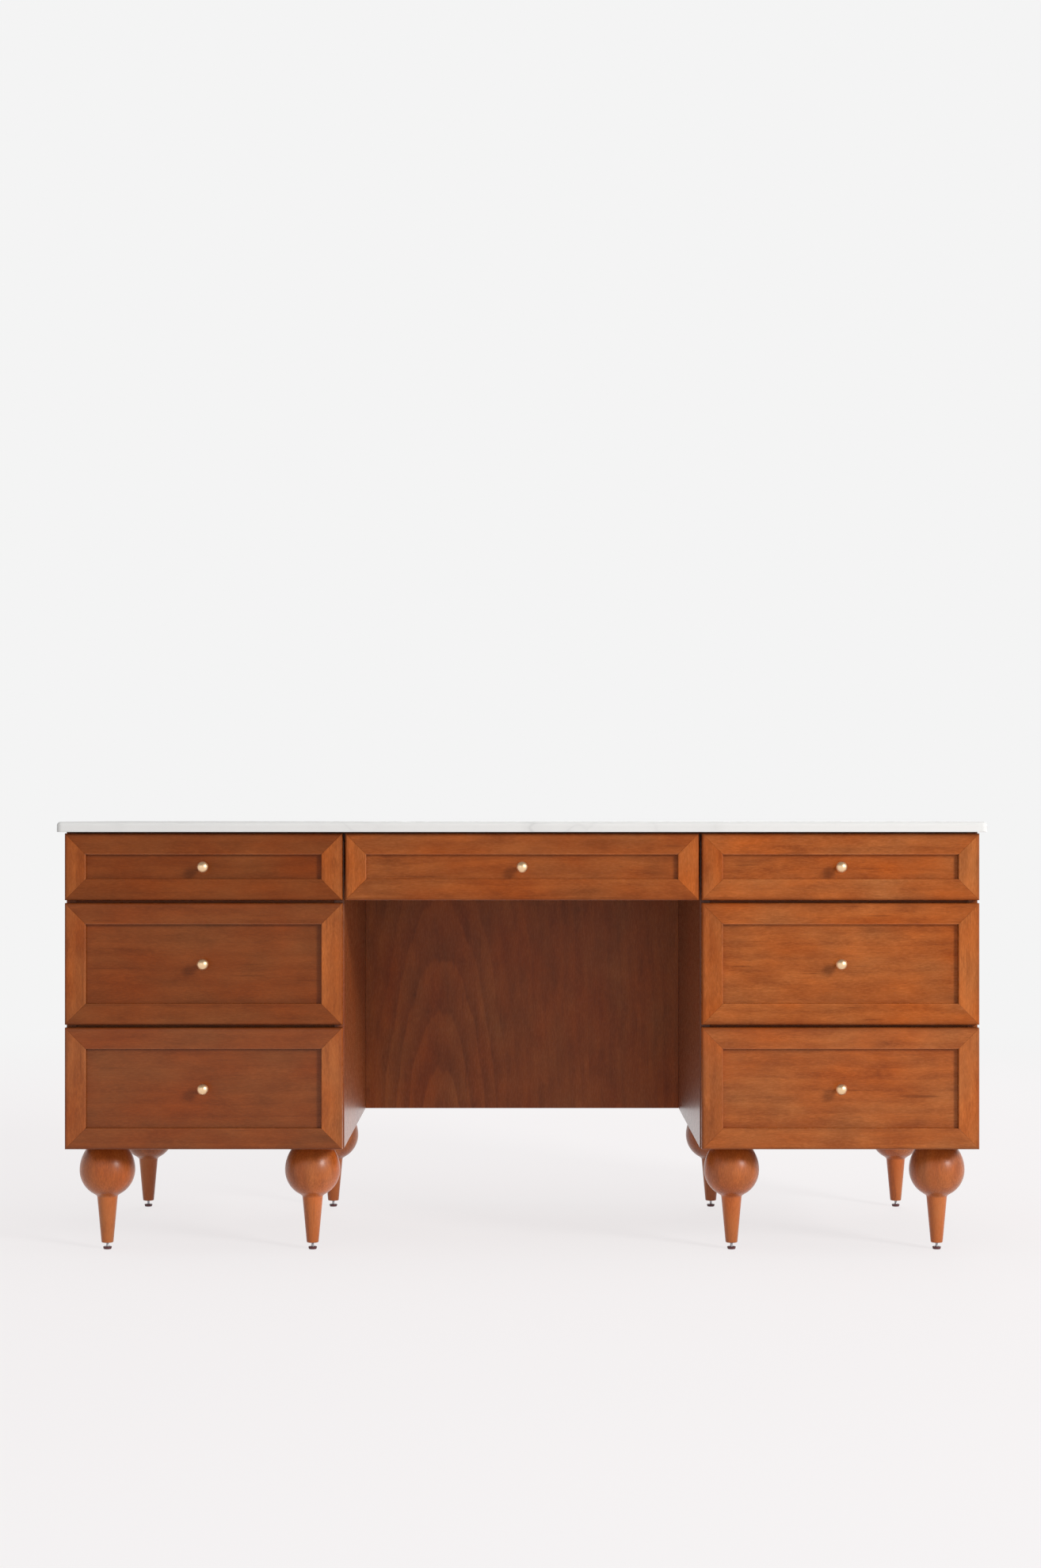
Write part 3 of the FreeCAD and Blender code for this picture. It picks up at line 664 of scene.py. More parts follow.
def white_stone(kit):
    """Honed white stone: soft clouds, fine crystals, and veins where warped noise crosses zero."""
    stone = bpy.context.scene.desk_stone
    place = kit.place()
    swirl = kit.noise(place * 2.2, 3.0, output="Color")
    bent = place + (swirl - (0.5, 0.5, 0.5)) * 0.62
    spread = 1 / stone.vein_spacing
    ridge = kit.maths("ABSOLUTE", kit.noise(bent * (spread, 1.7 * spread, spread), 4.0, 0.55) - 0.5)
    where = kit.smooth(kit.noise(place * 2.4 + (7.0, 3.0, 1.0), 2.0), 0.40, 0.66)
    broad = (1 - kit.smooth(ridge, 0.0, 0.060)) * where
    fine = (1 - kit.smooth(ridge, 0.0, 0.010)) * where
    clouds = kit.noise(bent * 3.4, 4.0, 0.6)
    crystals = kit.noise(place * 900.0, 2.0, 0.7)
    amount = kit.limited((broad * 0.34 + fine * 0.55) * (1.6 * stone.veins) + (clouds - 0.5) * 0.22
                         + (crystals - 0.5) * 0.07)
    kit.surface(
        Base_Color=kit.mixed(amount, stone.stone, stone.vein),
        Roughness=0.48 + fine * 0.08 + (crystals - 0.5) * 0.06,
        Specular_IOR_Level=0.2,
        Normal=kit.bumped(crystals + clouds, 0.02 * MM, 0.5))


def satin_brass(kit):
    """Turned brass: fine rings round the axis from noise of the radius and the height."""
    metal = bpy.context.scene.desk_metal
    grain = kit.grain()
    radius = kit.reach(grain * (0.0, 1.0, 1.0))
    rings = kit.node("ShaderNodeTexNoise", {"noise_dimensions": "1D"}, {
        "W": (radius + kit.along(grain, "X")) * 6500.0,
        "Scale": 1.0, "Detail": 3.0, "Roughness": 0.7})
    cloud = kit.noise(grain * 190.0)
    dulled = kit.limited((cloud - 0.5) * 0.8 + (rings - 0.5) * 0.5 + 0.3)
    kit.surface(
        Base_Color=kit.mixed(dulled, metal.brass, metal.dull_brass),
        Metallic=1.0,
        Roughness=0.37 + (rings - 0.5) * 0.14 + (cloud - 0.5) * 0.10,
        Normal=kit.bumped(rings, 0.012 * MM, 0.7))


def zinc_steel(kit):
    """Zinc-plated steel: a faint crystal spangle and fine drawn lines."""
    metal = bpy.context.scene.desk_metal
    place = kit.place()
    spangle = kit.node("ShaderNodeTexVoronoi", None, {"Vector": place, "Scale": 420.0}, "Color")
    lines = kit.noise(place * (3000.0, 60.0, 3000.0))
    patch = kit.noise(place * 60.0)
    bright = kit.node("ShaderNodeSeparateColor", None, {0: spangle}, "Red")
    kit.surface(
        Base_Color=kit.mixed(kit.limited(bright * 0.22 + patch * 0.35), metal.steel,
                             metal.dull_steel),
        Metallic=1.0,
        Roughness=0.30 + bright * 0.10 + (lines - 0.5) * 0.12,
        Normal=kit.bumped(lines, 0.01 * MM, 0.6))


def foot_plastic(kit):
    """Dark moulded plastic with a fine grained skin, scuffed pale near the rounded rim."""
    metal = bpy.context.scene.desk_metal
    grain = kit.grain()
    skin = kit.noise(grain * 2400.0, 2.0, 0.6)
    cloud = kit.noise(grain * 260.0)
    scratches = kit.noise(grain * (900.0, 500.0, 500.0), 3.0)
    scuff = kit.smooth(scratches, 0.50, 0.72) * kit.attribute("wear")
    kit.surface(
        Base_Color=kit.mixed(kit.limited(scuff * 0.5 + (cloud - 0.5) * 0.3), metal.foot_plastic,
                             metal.scuffed_plastic),
        Roughness=0.42 + (skin - 0.5) * 0.16 + scuff * 0.15,
        Normal=kit.bumped(skin, 0.03 * MM, 0.7))


# Pieces


def upright(node):
    """Foot and top of an upright turned node, its centre on the floor and its radius."""
    low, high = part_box(node)
    centre = ((low[X] + high[X]) / 2, (low[Y] + high[Y]) / 2, 0)
    return low[Z], high[Z], centre, (high[X] - low[X]) / 2


class DESK_OT_stone_top(Operator):
    """Lay the stone slab, with its rounded upper edge"""

    bl_idname = "desk.stone_top"
    bl_label = "Stone top"

    def execute(self, context):
        shape = context.scene.desk_shape
        low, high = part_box("marble_top")
        slab = board(low, high, X, Z, shape.slab_edge_round, shape.slab_corner_round,
                     shape.slab_arris)
        piece("stone_slab", [slab], white_stone, "root", "marble_top")
        return {"FINISHED"}


CASE_BOARDS = [
    # node, grain axis, thin axis, how much lighter than the middle tone
    ("left_outer_side", Z, X, 0.00),
    ("left_inner_side", Z, X, 0.02),
    # its much darker tone is painted shade: this side of the kneehole faces away from the key light
    ("right_inner_side", Z, X, -0.45),
    ("right_outer_side", Z, X, 0.03),
    ("left_base_panel", X, Z, -0.10),
    ("right_base_panel", X, Z, -0.08),
    ("left_back_panel", Z, Y, -0.02),
    ("right_back_panel", Z, Y, 0.02),
    ("modesty_panel", Z, Y, 0.00),
]

ARCHED_BOARDS = {
    # boards sawn close to the heart, where the rings show as nested arches: the middle of the
    # board along the log from its foot, to the side of the heart and outwards from it
    "modesty_panel": (0.47, 0.163, 0.020),
    "left_outer_side": (0.42, 0.060, 0.020),
    "right_outer_side": (0.50, -0.070, 0.025),
    "left_back_panel": (0.45, 0.040, 0.020),
    "right_back_panel": (0.55, -0.030, 0.022),
}

BOARD_POLISH = 0.42
INNER_SIDE_POLISH = 1.6
INNER_TONE = -0.1
# The front lipping's near-black tone is painted shade in the gap under the slab.
PAINTED_SHADE_LIPPING_TONE = -0.9


class DESK_OT_case_boards(Operator):
    """Stand up the case: sides, bases, backs, modesty panel, rails and the board under the slab"""

    bl_idname = "desk.case_boards"
    bl_label = "Case boards"

    def execute(self, context):
        shape = context.scene.desk_shape
        for node, along, thin, tone in CASE_BOARDS:
            low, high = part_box(node)
            arched = node in ARCHED_BOARDS
            offset = ARCHED_BOARDS[node] if arched else log_offset(node)
            edge = None if thin == X else shape.butted_round
            shell = board(low, high, along, thin, edge, offset=offset, tone=tone)
            shell.arches = float(arched)
            shell.polish = BOARD_POLISH
            if "inner" in node:
                at_back = shell.points[..., Y] > high[Y] - TINY
                shell.polish = np.where(at_back, BOARD_POLISH, INNER_SIDE_POLISH)
            piece(node + "_board", [shell], stained_wood, "root", node)
        self.sub_top(shape)
        self.rails(shape)
        return {"FINISHED"}

    @staticmethod
    def sub_top(shape):
        """The plywood board under the slab, with a solid strip along its front and back. The front
        strip's near-black tone is painted shade for the shadowed gap under the slab.
        """
        (x0, y0, z0), (x1, y1, z1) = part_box("sub_top")
        front, back = y0 + shape.lipping, y1 - shape.lipping
        edge = shape.butted_round
        lippings = [board((x0, y0, z0), (x1, front, z1), X, Y, edge, tone=PAINTED_SHADE_LIPPING_TONE),
                    board((x0, back, z0), (x1, y1, z1), X, Y, edge, tone=INNER_TONE)]
        panel = board((x0, front, z0), (x1, back, z1), X, Z, edge)
        piece("sub_top_lippings", lippings, stained_wood, "root", "sub_top")
        piece("sub_top_board", [panel], pale_plywood, "root", "sub_top")

    @staticmethod
    def rails(shape):
        """One rail behind each gap between two fronts, between the sides of its pedestal."""
        low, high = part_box("drawer_rails")
        for side, near, far in (("left", "left_outer_side", "left_inner_side"),
                                ("right", "right_inner_side", "right_outer_side")):
            x0, x1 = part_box(near)[1][X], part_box(far)[0][X]
            for level, bottom in (("lower", low[Z]), ("upper", high[Z] - shape.rail_height)):
                name = f"{side}_{level}_rail"
                shell = board((x0, low[Y], bottom), (x1, high[Y], bottom + shape.rail_height), X, Z,
                              offset=log_offset(name), tone=INNER_TONE)
                piece(name, [shell], stained_wood, "root", "drawer_rails")


FRONT_TONES_AND_PAINTED_SHEEN = {
    # place of the drawer: how much lighter than the middle tone its rails, panel, left and right
    # stiles are. The fronts grow lighter from left to right, and the stiles' lift over the rails is
    # painted sheen of their upright grain
    "left": (-0.23, -0.25, 0.07, 0.28),
    "centre": (0.03, 0.03, 0.32, 0.43),
    "right": (0.24, 0.22, 0.22, 0.44),
}

FRONT_SHEEN = {
    # drawer: how much lighter its front is than its neighbours above, which is painted light from
    # the floor on the lower fronts, and how glossy
    "middle_left_drawer": (0.01, 0.20),
    "bottom_left_drawer": (0.05, 0.55),
    "bottom_right_drawer": (-0.02, 0.30),
}

FRAME_EDGES = {
    # member: how much painted highlight lightens its edge next to the panel (under 0), how much
    # painted shade darkens it (over 0), by which way that edge faces the light, and how glossy it
    # is
    "lower_rail": (-0.3, 1.0),
    "right_stile": (1.0, 0.0),
    "upper_rail": (-0.8, 2.0),
    "left_stile": (-0.4, 1.2),
}

MITRE_WEAR = 0.50
MITRE_SIDE_WEAR = 0.20


def member(name, run, thick, corner, along, inward, tone, edge_painted_shade, edge_polish):
    """One frame member with mitred ends, carried from a corner of the front along its edge.

    Its section is carried along the outer edge. At each end a point lies as far in from the end
    as it lies from the outer edge, which makes the mitre, and the last row is sunk a little.
    edge_painted_shade and edge_polish are those of the edge next to the panel: over 0 the first
    paints shade along that edge, under 0 it paints a highlight.
    """
    shape = bpy.context.scene.desk_shape
    wide, lip = shape.frame_width, thick - shape.panel_recess
    rebate = wide - shape.rebate
    arris, edge_fringe = 0.4 * MM, 3.5 * MM
    section = Outline([(0, 0, arris), (rebate, 0, arris), (rebate, lip), (wide, lip, arris),
                       (wide, thick, shape.inner_round), (0, thick, shape.outer_round)],
                      5, edge_fringe, closed=True)
    at_inner_edge = section.points[:, 0] > wide - 1.5 * shape.inner_round
    on_edge = np.where(at_inner_edge, np.maximum(2 * section.wear - 1, 0), 0)
    # At the inner edge the wear attribute carries painted shade (over 0) and painted highlight
    # (under 0).
    wear = np.where(at_inner_edge, edge_painted_shade * on_edge, section.wear)
    sunk = section.points - section.normals * shape.mitre_groove
    groove, fringe = 1.6 * shape.mitre_groove, 1.5 * MM
    rows = np.stack([sunk, section.points, section.points])
    reach = section.points[:, 0] + np.array([[0.0], [groove], [groove + fringe]])
    wears = np.stack([np.maximum(wear, MITRE_WEAR), np.maximum(wear, MITRE_SIDE_WEAR), wear])
    rows = np.concatenate([rows, rows[::-1]])
    places = np.concatenate([reach, run - reach[::-1]])[..., None]
    wears = np.concatenate([wears, wears[::-1]])
    points = (np.asarray(corner, float) + places * np.asarray(along)
              + rows[..., :1] * np.asarray(inward) + rows[..., 1:] * np.asarray(FORWARD))
    grain = np.concatenate([places, rows], axis=-1) + log_offset(name)
    shell = Shell(points, grain, wears, tone)
    shell.polish = edge_polish * on_edge
    return shell


class DESK_OT_drawer_fronts(Operator):
    """Make the seven drawer fronts, each four mitred members round a recessed panel"""

    bl_idname = "desk.drawer_fronts"
    bl_label = "Drawer fronts"

    def execute(self, context):
        shape = context.scene.desk_shape
        inset = shape.frame_width - shape.rebate + shape.panel_gap
        for drawer in DRAWERS:
            place = next(place for place in FRONT_TONES_AND_PAINTED_SHEEN if place in drawer)
            # lighter is painted light from the floor, added to the lower fronts' tones
            lighter, sheen = FRONT_SHEEN.get(drawer, (0.0, 0.0))
            rail_tone, panel_tone, left_tone_and_painted_sheen, right_tone_and_painted_sheen = np.array(FRONT_TONES_AND_PAINTED_SHEEN[place]) + lighter
            node = drawer + "_front"
            (x0, front, z0), (x1, back, z1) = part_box(node)
            members = {
                "lower_rail": (x1 - x0, (x0, back, z0), RIGHT, UP, rail_tone),
                "right_stile": (z1 - z0, (x1, back, z0), UP, LEFT, right_tone_and_painted_sheen),
                "upper_rail": (x1 - x0, (x1, back, z1), LEFT, DOWN, rail_tone),
                "left_stile": (z1 - z0, (x0, back, z1), DOWN, RIGHT, left_tone_and_painted_sheen),
            }
            for label, (run, corner, along, inward, tone) in members.items():
                name = f"{drawer}_{label}"
                shell = member(name, run, back - front, corner, along, inward, tone,
                               *FRAME_EDGES[label])
                shell.polish = shell.polish + sheen
                piece(name, [shell], stained_wood, drawer, node)
            name = f"{drawer}_panel"
            face = front + shape.panel_recess + shape.panel_gap
            panel = board((x0 + inset, face, z0 + inset), (x1 - inset, back, z1 - inset), X, Y,
                          offset=log_offset(name), tone=panel_tone)
            panel.polish = sheen
            piece(name, [panel], stained_wood, drawer, node)
        return {"FINISHED"}


class DESK_OT_drawer_boxes(Operator):
    """Make the seven plywood drawer boxes"""

    bl_idname = "desk.drawer_boxes"
    bl_label = "Drawer boxes"

    def execute(self, context):
        shape = context.scene.desk_shape
        wall = shape.box_board
        for drawer in DRAWERS:
            node = drawer + "_box"
            (x0, y0, z0), (x1, y1, z1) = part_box(node)
            floor_bottom = z0 + shape.box_floor_raise
            parts = {
                "left": ((x0, y0, z0), (x0 + wall, y1, z1), Y, X),
                "right": ((x1 - wall, y0, z0), (x1, y1, z1), Y, X),
                "front": ((x0 + wall, y0, z0), (x1 - wall, y0 + wall, z1), X, Y),
                "back": ((x0 + wall, y1 - wall, z0), (x1 - wall, y1, z1), X, Y),
                "floor": ((x0 + wall, y0 + wall, floor_bottom),
                          (x1 - wall, y1 - wall, floor_bottom + shape.box_floor), X, Z),
            }
            for label, (low, high, along, thin) in parts.items():
                name = f"{drawer}_box_{label}"
                # The layers of the plywood are counted from the middle of each board.
                shell = board(low, high, along, thin, offset=log_offset(name) * (1, 1, 0))
                piece(name, [shell], pale_plywood, drawer, node)
        return {"FINISHED"}


LEG_WEAR = 0.7
LEG_TONE = 0.40
# The pegs are made paler than the balls: painted light from the floor, which falls on them.
PEG_PAINTED_LIGHT = 0.36
LEG_POLISH = 1.2


class DESK_OT_legs(Operator):
    """Turn the eight legs: a ball, a shoulder and a tapered peg"""

    bl_idname = "desk.legs"
    bl_label = "Turned legs"

    def execute(self, context):
        sides = context.scene.desk_shape.turning_sides
        peg_end, blend = 100 * MM, 6 * MM
        for node in LEGS:
            foot, top, centre, radius = upright(node)
            path = self.profile(foot, top, radius)
            leg = turned(path.points, centre, UP, sides, path.wear * LEG_WEAR, log_offset(node))
            on_peg = np.clip((peg_end - path.points[:, 1:]) / blend, 0, 1)
            # the peg's extra tone is painted light from the floor
            leg.tone = LEG_TONE + PEG_PAINTED_LIGHT * on_peg
            leg.polish = LEG_POLISH
            piece(node + "_turning", [leg], stained_wood, "root", node)
        return {"FINISHED"}

    @staticmethod
    def profile(foot, top, ball):
        """Radius and height from the foot's bore, down and up the outside, to the bolt's bore."""
        ball_height, ball_foot_height, shoulder_height = 142 * MM, 103 * MM, 96.3 * MM
        ball_top, ball_foot, shoulder = 29 * MM, 30 * MM, 19.6 * MM
        peg_top, peg_foot, step = 18.2 * MM, 10.6 * MM, 2.3 * MM
        stem_bore, insert_bore, bolt_bore = 2.58 * MM, 4.6 * MM, 4.1 * MM
        stem_end, insert_end, bolt_end = 52 * MM, 28 * MM, 151.5 * MM
        upper = arc_to((ball, ball_height), (ball_top, top), ball_height)
        lower = arc_to((ball_foot, ball_foot_height), (ball, ball_height), ball_height)
        return Outline([
            (stem_bore, stem_end), (stem_bore, insert_end), (insert_bore, insert_end),
            (insert_bore, foot, 0.2 * MM), (peg_foot, foot, 1.5 * MM),
            (peg_top, shoulder_height - step, 0.5 * MM), (shoulder, shoulder_height, 0.7 * MM),
            (ball_foot, ball_foot_height, 2 * MM), *lower[1:], *upper[1:-1],
            (ball_top, top, 1 * MM), (bolt_bore, top), (bolt_bore, bolt_end)])


class DESK_OT_knobs(Operator):
    """Turn the brass knobs and their machine screws"""

    bl_idname = "desk.knobs"
    bl_label = "Knobs"

    def execute(self, context):
        reach = context.scene.desk_shape.knob_length
        for drawer in DRAWERS:
            node = drawer + "_knob"
            low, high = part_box(node)
            panel = low[Y] + reach
            centre = ((low[X] + high[X]) / 2, panel, (low[Z] + high[Z]) / 2)
            profile = self.profile((high[X] - low[X]) / 2, reach)
            knob = turned(profile, centre, FORWARD, sides=64)
            screw = turned(self.screw_profile(panel - high[Y]), centre, FORWARD, sides=32)
            piece(drawer + "_knob_turning", [knob], satin_brass, drawer, node)
            piece(drawer + "_knob_screw", [screw], zinc_steel, drawer, node)
        return {"FINISHED"}

    @staticmethod
    def profile(radius, tip):
        """Radius and height from inside the bore, over collar, neck and rim, to the tip."""
        collar, neck, bore, bore_end = 6 * MM, 4 * MM, 2.1 * MM, 13 * MM
        collar_end, neck_end, rim_start, rim_end = 2 * MM, 14 * MM, 20 * MM, 21.5 * MM
        rim_round, flare_steps, dome_steps, tip_lean = 0.35 * MM, 10, 12, 0.02
        flare_radius = ((radius - neck) ** 2 + (rim_start - neck_end) ** 2) / (2 * (radius - neck))
        sweep = np.linspace(0, math.asin((rim_start - neck_end) / flare_radius), flare_steps + 1)
        flare = np.stack([neck + flare_radius * (1 - np.cos(sweep)),
                          neck_end + flare_radius * np.sin(sweep)], axis=1)
        dome_radius = (radius ** 2 + (tip - rim_end) ** 2) / (2 * (tip - rim_end))
        lean = np.linspace(math.asin(radius / dome_radius), tip_lean, dome_steps + 1)
        dome = np.stack([dome_radius * np.sin(lean),
                         tip - dome_radius * (1 - np.cos(lean))], axis=1)
        return Outline([
            (bore, bore_end), (bore, 0), (collar, 0, 0.2 * MM), (collar, collar_end, 0.5 * MM),
            (neck, collar_end, 0.3 * MM), *flare[:-1], (*flare[-1], rim_round),
            (*dome[0], rim_round), *dome[1:]]).points

    @staticmethod
    def screw_profile(back):
        """A pan head with a cone-shaped recess, then the plain shank."""
        head, shank, reach, head_end = 5.5 * MM, 2 * MM, 12 * MM, back + 2.5 * MM
        recess, recess_foot, recess_end = 1.9 * MM, 0.2 * MM, back + 1.4 * MM
        return Outline([
            (recess_foot, recess_end), (recess, back, 0.2 * MM), (head * 0.72, back, 1.2 * MM),
            (head, back + 1.2 * MM, 0.6 * MM), (head, head_end, 0.1 * MM),
            (shank, head_end, 0.1 * MM), (shank, reach)]).points


class DESK_OT_runners(Operator):
    """Fit the steel runners: one member on the case and one on the drawer, on both sides"""

    bl_idname = "desk.runners"
    bl_label = "Runners"

    def execute(self, context):
        shape = context.scene.desk_shape
        sheet, space = shape.runner_sheet, shape.runner_space
        end_to_screw, stagger, screws_each = 30 * MM, 12 * MM, 4
        for drawer in DRAWERS:
            box_low, box_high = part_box(drawer + "_box")
            low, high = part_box(drawer + "_runners")
            level, half = (low[Z] + high[Z]) / 2, (high[Z] - low[Z]) / 2
            screws = np.linspace(low[Y] + end_to_screw, high[Y] - end_to_screw, screws_each)
            inner, outer = [], []
            for wall, sign in ((box_low[X] - space, 1.0), (box_high[X] + space, -1.0)):
                ends = (wall, low[Y], level), (wall, high[Y], level)
                outer.append(carried(self.case_section(sheet), *ends, (sign, 0, 0), UP))
                inner.append(carried(self.drawer_section(sheet, space, half), *ends,
                                     (sign, 0, 0), UP))
                outer += [self.screw((wall + sign * sheet, y, level), sign) for y in screws]
                web = wall + sign * (space - sheet)
                inner += [self.screw((web, y + stagger, level), -sign) for y in screws[:-1]]
            piece(drawer + "_runner_members", inner, zinc_steel, drawer, drawer + "_runners")
            piece(drawer.replace("_drawer", "_bay_runners"), outer, zinc_steel, "root",
                  "case_runners")
        return {"FINISHED"}

    @staticmethod
    def case_section(sheet):
        """A channel open towards the drawer, with lips turned in."""
        deep, half, lip = 9 * MM, 17.5 * MM, 4 * MM
        bend, small, fold = 1.6 * MM, 0.4 * MM, 0.45 * MM
        lower = [(0, -half, bend), (deep, -half, bend), (deep, lip - half, fold),
                 (deep - sheet, lip - half, fold), (deep - sheet, sheet - half, small),
                 (sheet, sheet - half, small)]
        upper = [(across, -up, radius) for across, up, radius in lower[::-1]]
        return Outline(lower + upper, 3, closed=True).points

    @staticmethod
    def drawer_section(sheet, space, half):
        """A shallower channel, open towards the case, that runs between those lips."""
        near, web = space - 8 * MM, space - sheet
        bend, small = 1.5 * MM, 0.4 * MM
        upper = [(space, half, bend), (near, half, small), (near, half - sheet, small),
                 (web, half - sheet, small)]
        lower = [(across, -up, radius) for across, up, radius in upper[::-1]]
        return Outline(lower[-1:] + upper + lower[:-1], 3, closed=True).points

    @staticmethod
    def screw(place, sign):
        """A low countersunk screw head with a small recess, standing out of the web."""
        head, flat, recess, recess_foot, rise = 3.4 * MM, 2.2 * MM, 1.3 * MM, 0.15 * MM, 1.0 * MM
        path = Outline([(head, -0.2 * MM), (head, 0.25 * MM, 0.15 * MM), (flat, rise, 0.5 * MM),
                        (recess, rise, 0.1 * MM), (recess_foot, 0.2 * MM)], 3)
        return turned(path.points, place, (sign, 0, 0), sides=20)


class DESK_OT_levellers(Operator):
    """Screw in the eight levellers: a threaded stem in a moulded disc"""

    bl_idname = "desk.levellers"
    bl_label = "Levellers"

    def execute(self, context):
        shape = context.scene.desk_shape
        for foot in FEET:
            node = foot.replace("foot_", "leveller_")
            _, top, centre, radius = upright(node)
            piece(foot + "_disc", [self.disc(centre, radius)], foot_plastic, foot, node)
            piece(foot + "_stem", [self.stem(centre, top, shape)], zinc_steel, foot, node)
        return {"FINISHED"}

    @staticmethod
    def disc(centre, radius):
        """A tapered disc with rounded rims, a boss round the stem and a socket for it."""
        thick, stem, socket_foot, socket = 4.6 * MM, 2.5 * MM, 1.6 * MM, 0.2 * MM
        shoulder, small = thick - 0.1 * MM, 0.1 * MM
        path = Outline([
            (socket, 0), (radius - 1 * MM, 0, 0.8 * MM), (radius, thick - 0.7 * MM, 0.4 * MM),
            (radius - 0.8 * MM, shoulder, 0.5 * MM), (stem + 1.4 * MM, shoulder, small),
            (stem + 1.2 * MM, thick, small), (stem, thick, small), (stem, socket_foot),
            (socket, socket_foot)])
        return turned(path.points, centre, UP, sides=48, wear=path.wear)

    @staticmethod
    def stem(centre, top, shape):
        """A rod whose radius falls by a triangle wave of turns of angle less turns of height."""
        radius, bottom, chamfer, chamfer_depth = 2.5 * MM, 1.6 * MM, 0.5 * MM, 1.5
        sides, rows_per_turn = 24, 6
        rows = int(round((top - bottom) / shape.thread_pitch * rows_per_turn))
        height = np.linspace(bottom, top, rows)
        turns = height[:, None] / shape.thread_pitch - np.linspace(0, 1, sides, endpoint=False)
        wave = np.abs((turns % 1.0) * 2 - 1)
        ends = np.clip(np.minimum(height - bottom, top - height) / chamfer, 0, 1)[:, None]
        depth = -shape.thread_depth * (wave * ends + chamfer_depth * (1 - ends))
        profile = np.stack([np.full(rows, radius), height], axis=1)
        return turned(profile, centre, UP, sides, depth=depth)


class DESK_OT_hidden_fixings(Operator):
    """Plate the bolts and threaded inserts that hold legs, base boards and levellers together"""

    bl_idname = "desk.hidden_fixings"
    bl_label = "Bolts and inserts"

    def execute(self, context):
        steel = finish(zinc_steel)
        for name in ("leg_bolts", "base_inserts", "foot_inserts"):
            node = frame["nodes"][name]
            if not node.material_slots:
                node.data.materials.append(steel)
            for slot in node.material_slots:
                slot.material = steel
        return {"FINISHED"}


# Floor, lights and camera


def floor_finish(kit):
    """A pale floor that keeps shadows and fades into the backdrop far from the desk."""
    stage = bpy.context.scene.desk_stage
    far = kit.smooth(kit.reach(kit.place() * (1.0, 1.0, 0.0)), 1.6, 5.0)
    glow = kit.node("ShaderNodeEmission", None, {
        "Color": kit.mixed(far, stage.floor_glow, stage.backdrop), "Strength": 1.0})
    mottle = kit.limited((kit.noise(kit.place() * 6.0) - 0.5) * 0.2)
    matt = kit.node("ShaderNodeBsdfDiffuse", None, {
        "Color": kit.mixed(mottle, stage.floor, stage.floor_mottle)})
    blend = kit.limited(kit.seen() * (0.80 + far * 0.20))
    kit.shown(kit.node("ShaderNodeMixShader", None, {0: blend, 1: matt, 2: glow}))


def lamp(name, place, target, size, watts, tint=(1.0, 1.0, 1.0), mirrored=True):
    """An oblong area light at a place, turned towards a target. The camera doesn't see it, and
    reflections show it only if it is mirrored."""
    light = bpy.data.lights.new(name, "AREA")
    light.shape = "RECTANGLE"
    light.size, light.size_y = size
    light.energy = watts
    light.color = tint
    made = bpy.data.objects.new(name, light)
    bpy.context.scene.collection.objects.link(made)
    made.location = place
    made.rotation_euler = (Vector(target) - Vector(place)).to_track_quat("-Z", "Y").to_euler()
    made.visible_camera = False
    made.visible_glossy = mirrored


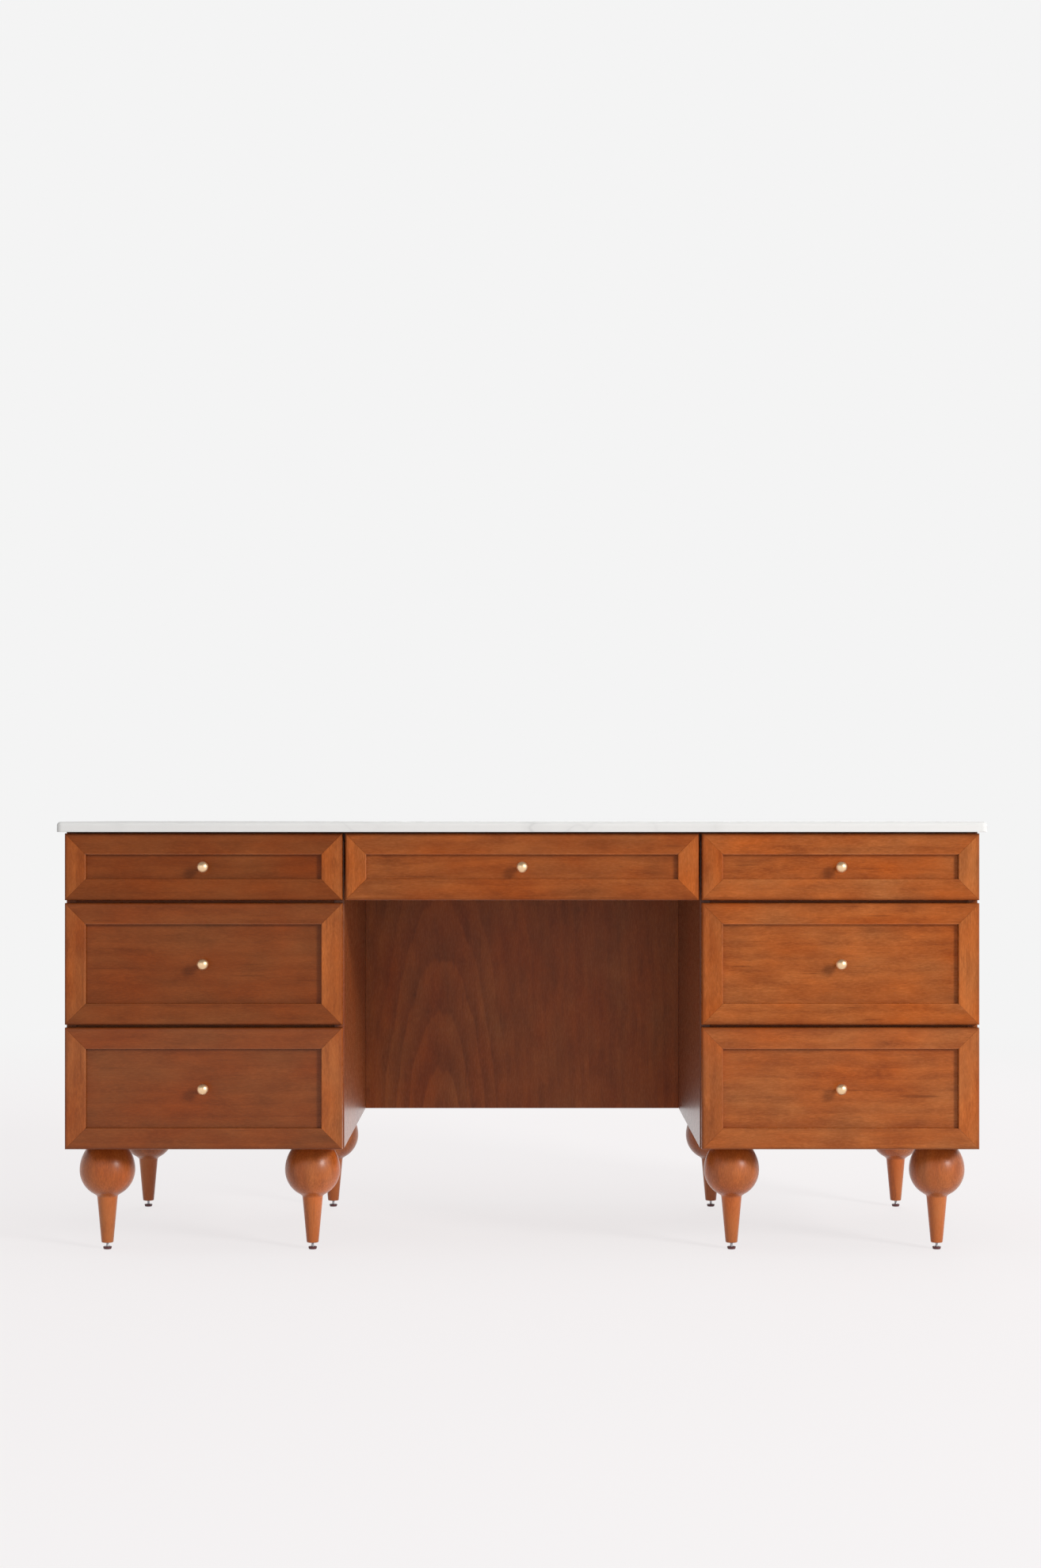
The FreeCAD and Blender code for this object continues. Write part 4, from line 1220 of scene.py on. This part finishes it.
class DESK_OT_stage(Operator):
    """Set the floor, the studio light and the camera"""

    bl_idname = "desk.stage"
    bl_label = "Stage"

    def execute(self, context):
        stage = context.scene.desk_stage
        self.lay_floor()
        self.light_world(stage)
        lamp("key_light", (5.6, -5.5, 3.4), (0.0, -0.2, 0.45), (1.8, 1.8), stage.key_watts,
             (1.0, 0.985, 0.965))
        lamp("side_light", (2.9, -0.9, 1.3), (0.4, 0.0, 0.4), (1.2, 1.2), 5.0)
        lamp("front_fill", (-1.9, -3.4, 1.5), (-0.3, 0.0, 0.4), (2.0, 1.6), 5.0)
        lamp("back_fill", (0.6, 3.6, 2.4), (0.0, 0.0, 0.4), (2.6, 1.8), 40.0)
        lamp("top_light", (0.2, -0.3, 3.2), (0.0, 0.0, 0.5), (2.6, 2.0), 14.0, mirrored=False)
        lamp("low_fill", (0.3, -6.0, 0.8), (0.1, -0.3, 0.5), (3.2, 1.2), 16.0, mirrored=False)
        lamp("kneehole_bounce", (-0.06, -0.22, 0.02), (-0.06, -0.22, 1.0), (0.46, 0.26), 0.6,
             (1.0, 0.95, 0.88), mirrored=False)
        self.place_camera(stage)
        return {"FINISHED"}

    @staticmethod
    def lay_floor():
        """A square floor round the desk."""
        reach = 14.0
        mesh = bpy.data.meshes.new("floor")
        corners = [(-reach, -reach, 0), (reach, -reach, 0), (reach, reach, 0), (-reach, reach, 0)]
        mesh.from_pydata(corners, [], [(0, 1, 2, 3)])
        mesh.materials.append(finish(floor_finish))
        floor = bpy.data.objects.new("floor", mesh)
        bpy.context.scene.collection.objects.link(floor)

    @staticmethod
    def light_world(stage):
        """Soft light from all round; the camera sees the pale backdrop, and so do reflections,
        which find a greyer ceiling overhead."""
        world = bpy.data.worlds.new("studio")
        bpy.context.scene.world = world
        kit = Kit(world)
        ambient = kit.node("ShaderNodeBackground", None, {"Color": (1.0, 1.0, 1.0),
                                                           "Strength": stage.ambient})
        height = kit.along(kit.node("ShaderNodeTexCoord", output="Generated"), "Z")
        reflected = 1 - kit.node("ShaderNodeLightPath", output="Is Camera Ray")
        overhead = kit.smooth(height, 0.25, 0.60) * reflected
        backdrop = kit.node("ShaderNodeBackground", None, {
            "Color": kit.mixed(overhead, stage.backdrop, stage.ceiling), "Strength": 1.0})
        mixed = kit.node("ShaderNodeMixShader", None, {0: kit.seen(), 1: ambient, 2: backdrop})
        kit.shown(mixed, "ShaderNodeOutputWorld")

    @staticmethod
    def place_camera(stage):
        """A level camera in front of the desk's middle."""
        camera = bpy.data.cameras.new("camera")
        camera.lens = stage.focal_length
        camera.sensor_width = 36.0
        camera.shift_x = -0.001
        camera.shift_y = 0.0215
        camera.clip_end = 60.0
        made = bpy.data.objects.new("camera", camera)
        bpy.context.scene.collection.objects.link(made)
        case_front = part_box("left_outer_side")[0][Y]
        made.location = (0.0, case_front - stage.camera_distance, stage.camera_height)
        made.rotation_euler = (math.pi / 2, 0.0, 0.0)
        bpy.context.scene.camera = made
        bpy.context.scene.view_settings.view_transform = "Standard"


OPERATORS = (DESK_OT_stage, DESK_OT_stone_top, DESK_OT_case_boards, DESK_OT_drawer_fronts,
             DESK_OT_drawer_boxes, DESK_OT_runners, DESK_OT_knobs, DESK_OT_legs, DESK_OT_levellers,
             DESK_OT_hidden_fixings)
SETTINGS = {"desk_shape": DeskShape, "desk_wood": DeskWood, "desk_stone": DeskStone,
            "desk_metal": DeskMetal, "desk_stage": DeskStage}


class DESK_PT_sidebar(Panel):
    """Lists the desk's pieces, in the order in which they are made"""

    bl_idname = "DESK_PT_sidebar"
    bl_label = "Executive desk"
    bl_space_type = "VIEW_3D"
    bl_region_type = "UI"
    bl_category = "Desk"

    def draw(self, context):
        for operator in OPERATORS:
            self.layout.operator(operator.bl_idname)
        for name, group in SETTINGS.items():
            settings = getattr(context.scene, name)
            box = self.layout.box()
            for prop in group.__annotations__:
                box.prop(settings, prop)


CLASSES = (*SETTINGS.values(), *OPERATORS, DESK_PT_sidebar)


def register():
    for cls in CLASSES:
        bpy.utils.register_class(cls)
    for name, group in SETTINGS.items():
        setattr(bpy.types.Scene, name, PointerProperty(type=group))


def unregister():
    for name in SETTINGS:
        delattr(bpy.types.Scene, name)
    for cls in reversed(CLASSES):
        bpy.utils.unregister_class(cls)


def main():
    """Registers the classes and makes every piece in order."""
    register()
    for operator in OPERATORS:
        group, name = operator.bl_idname.split(".")
        getattr(getattr(bpy.ops, group), name)()


if __name__ == "__main__":
    main()
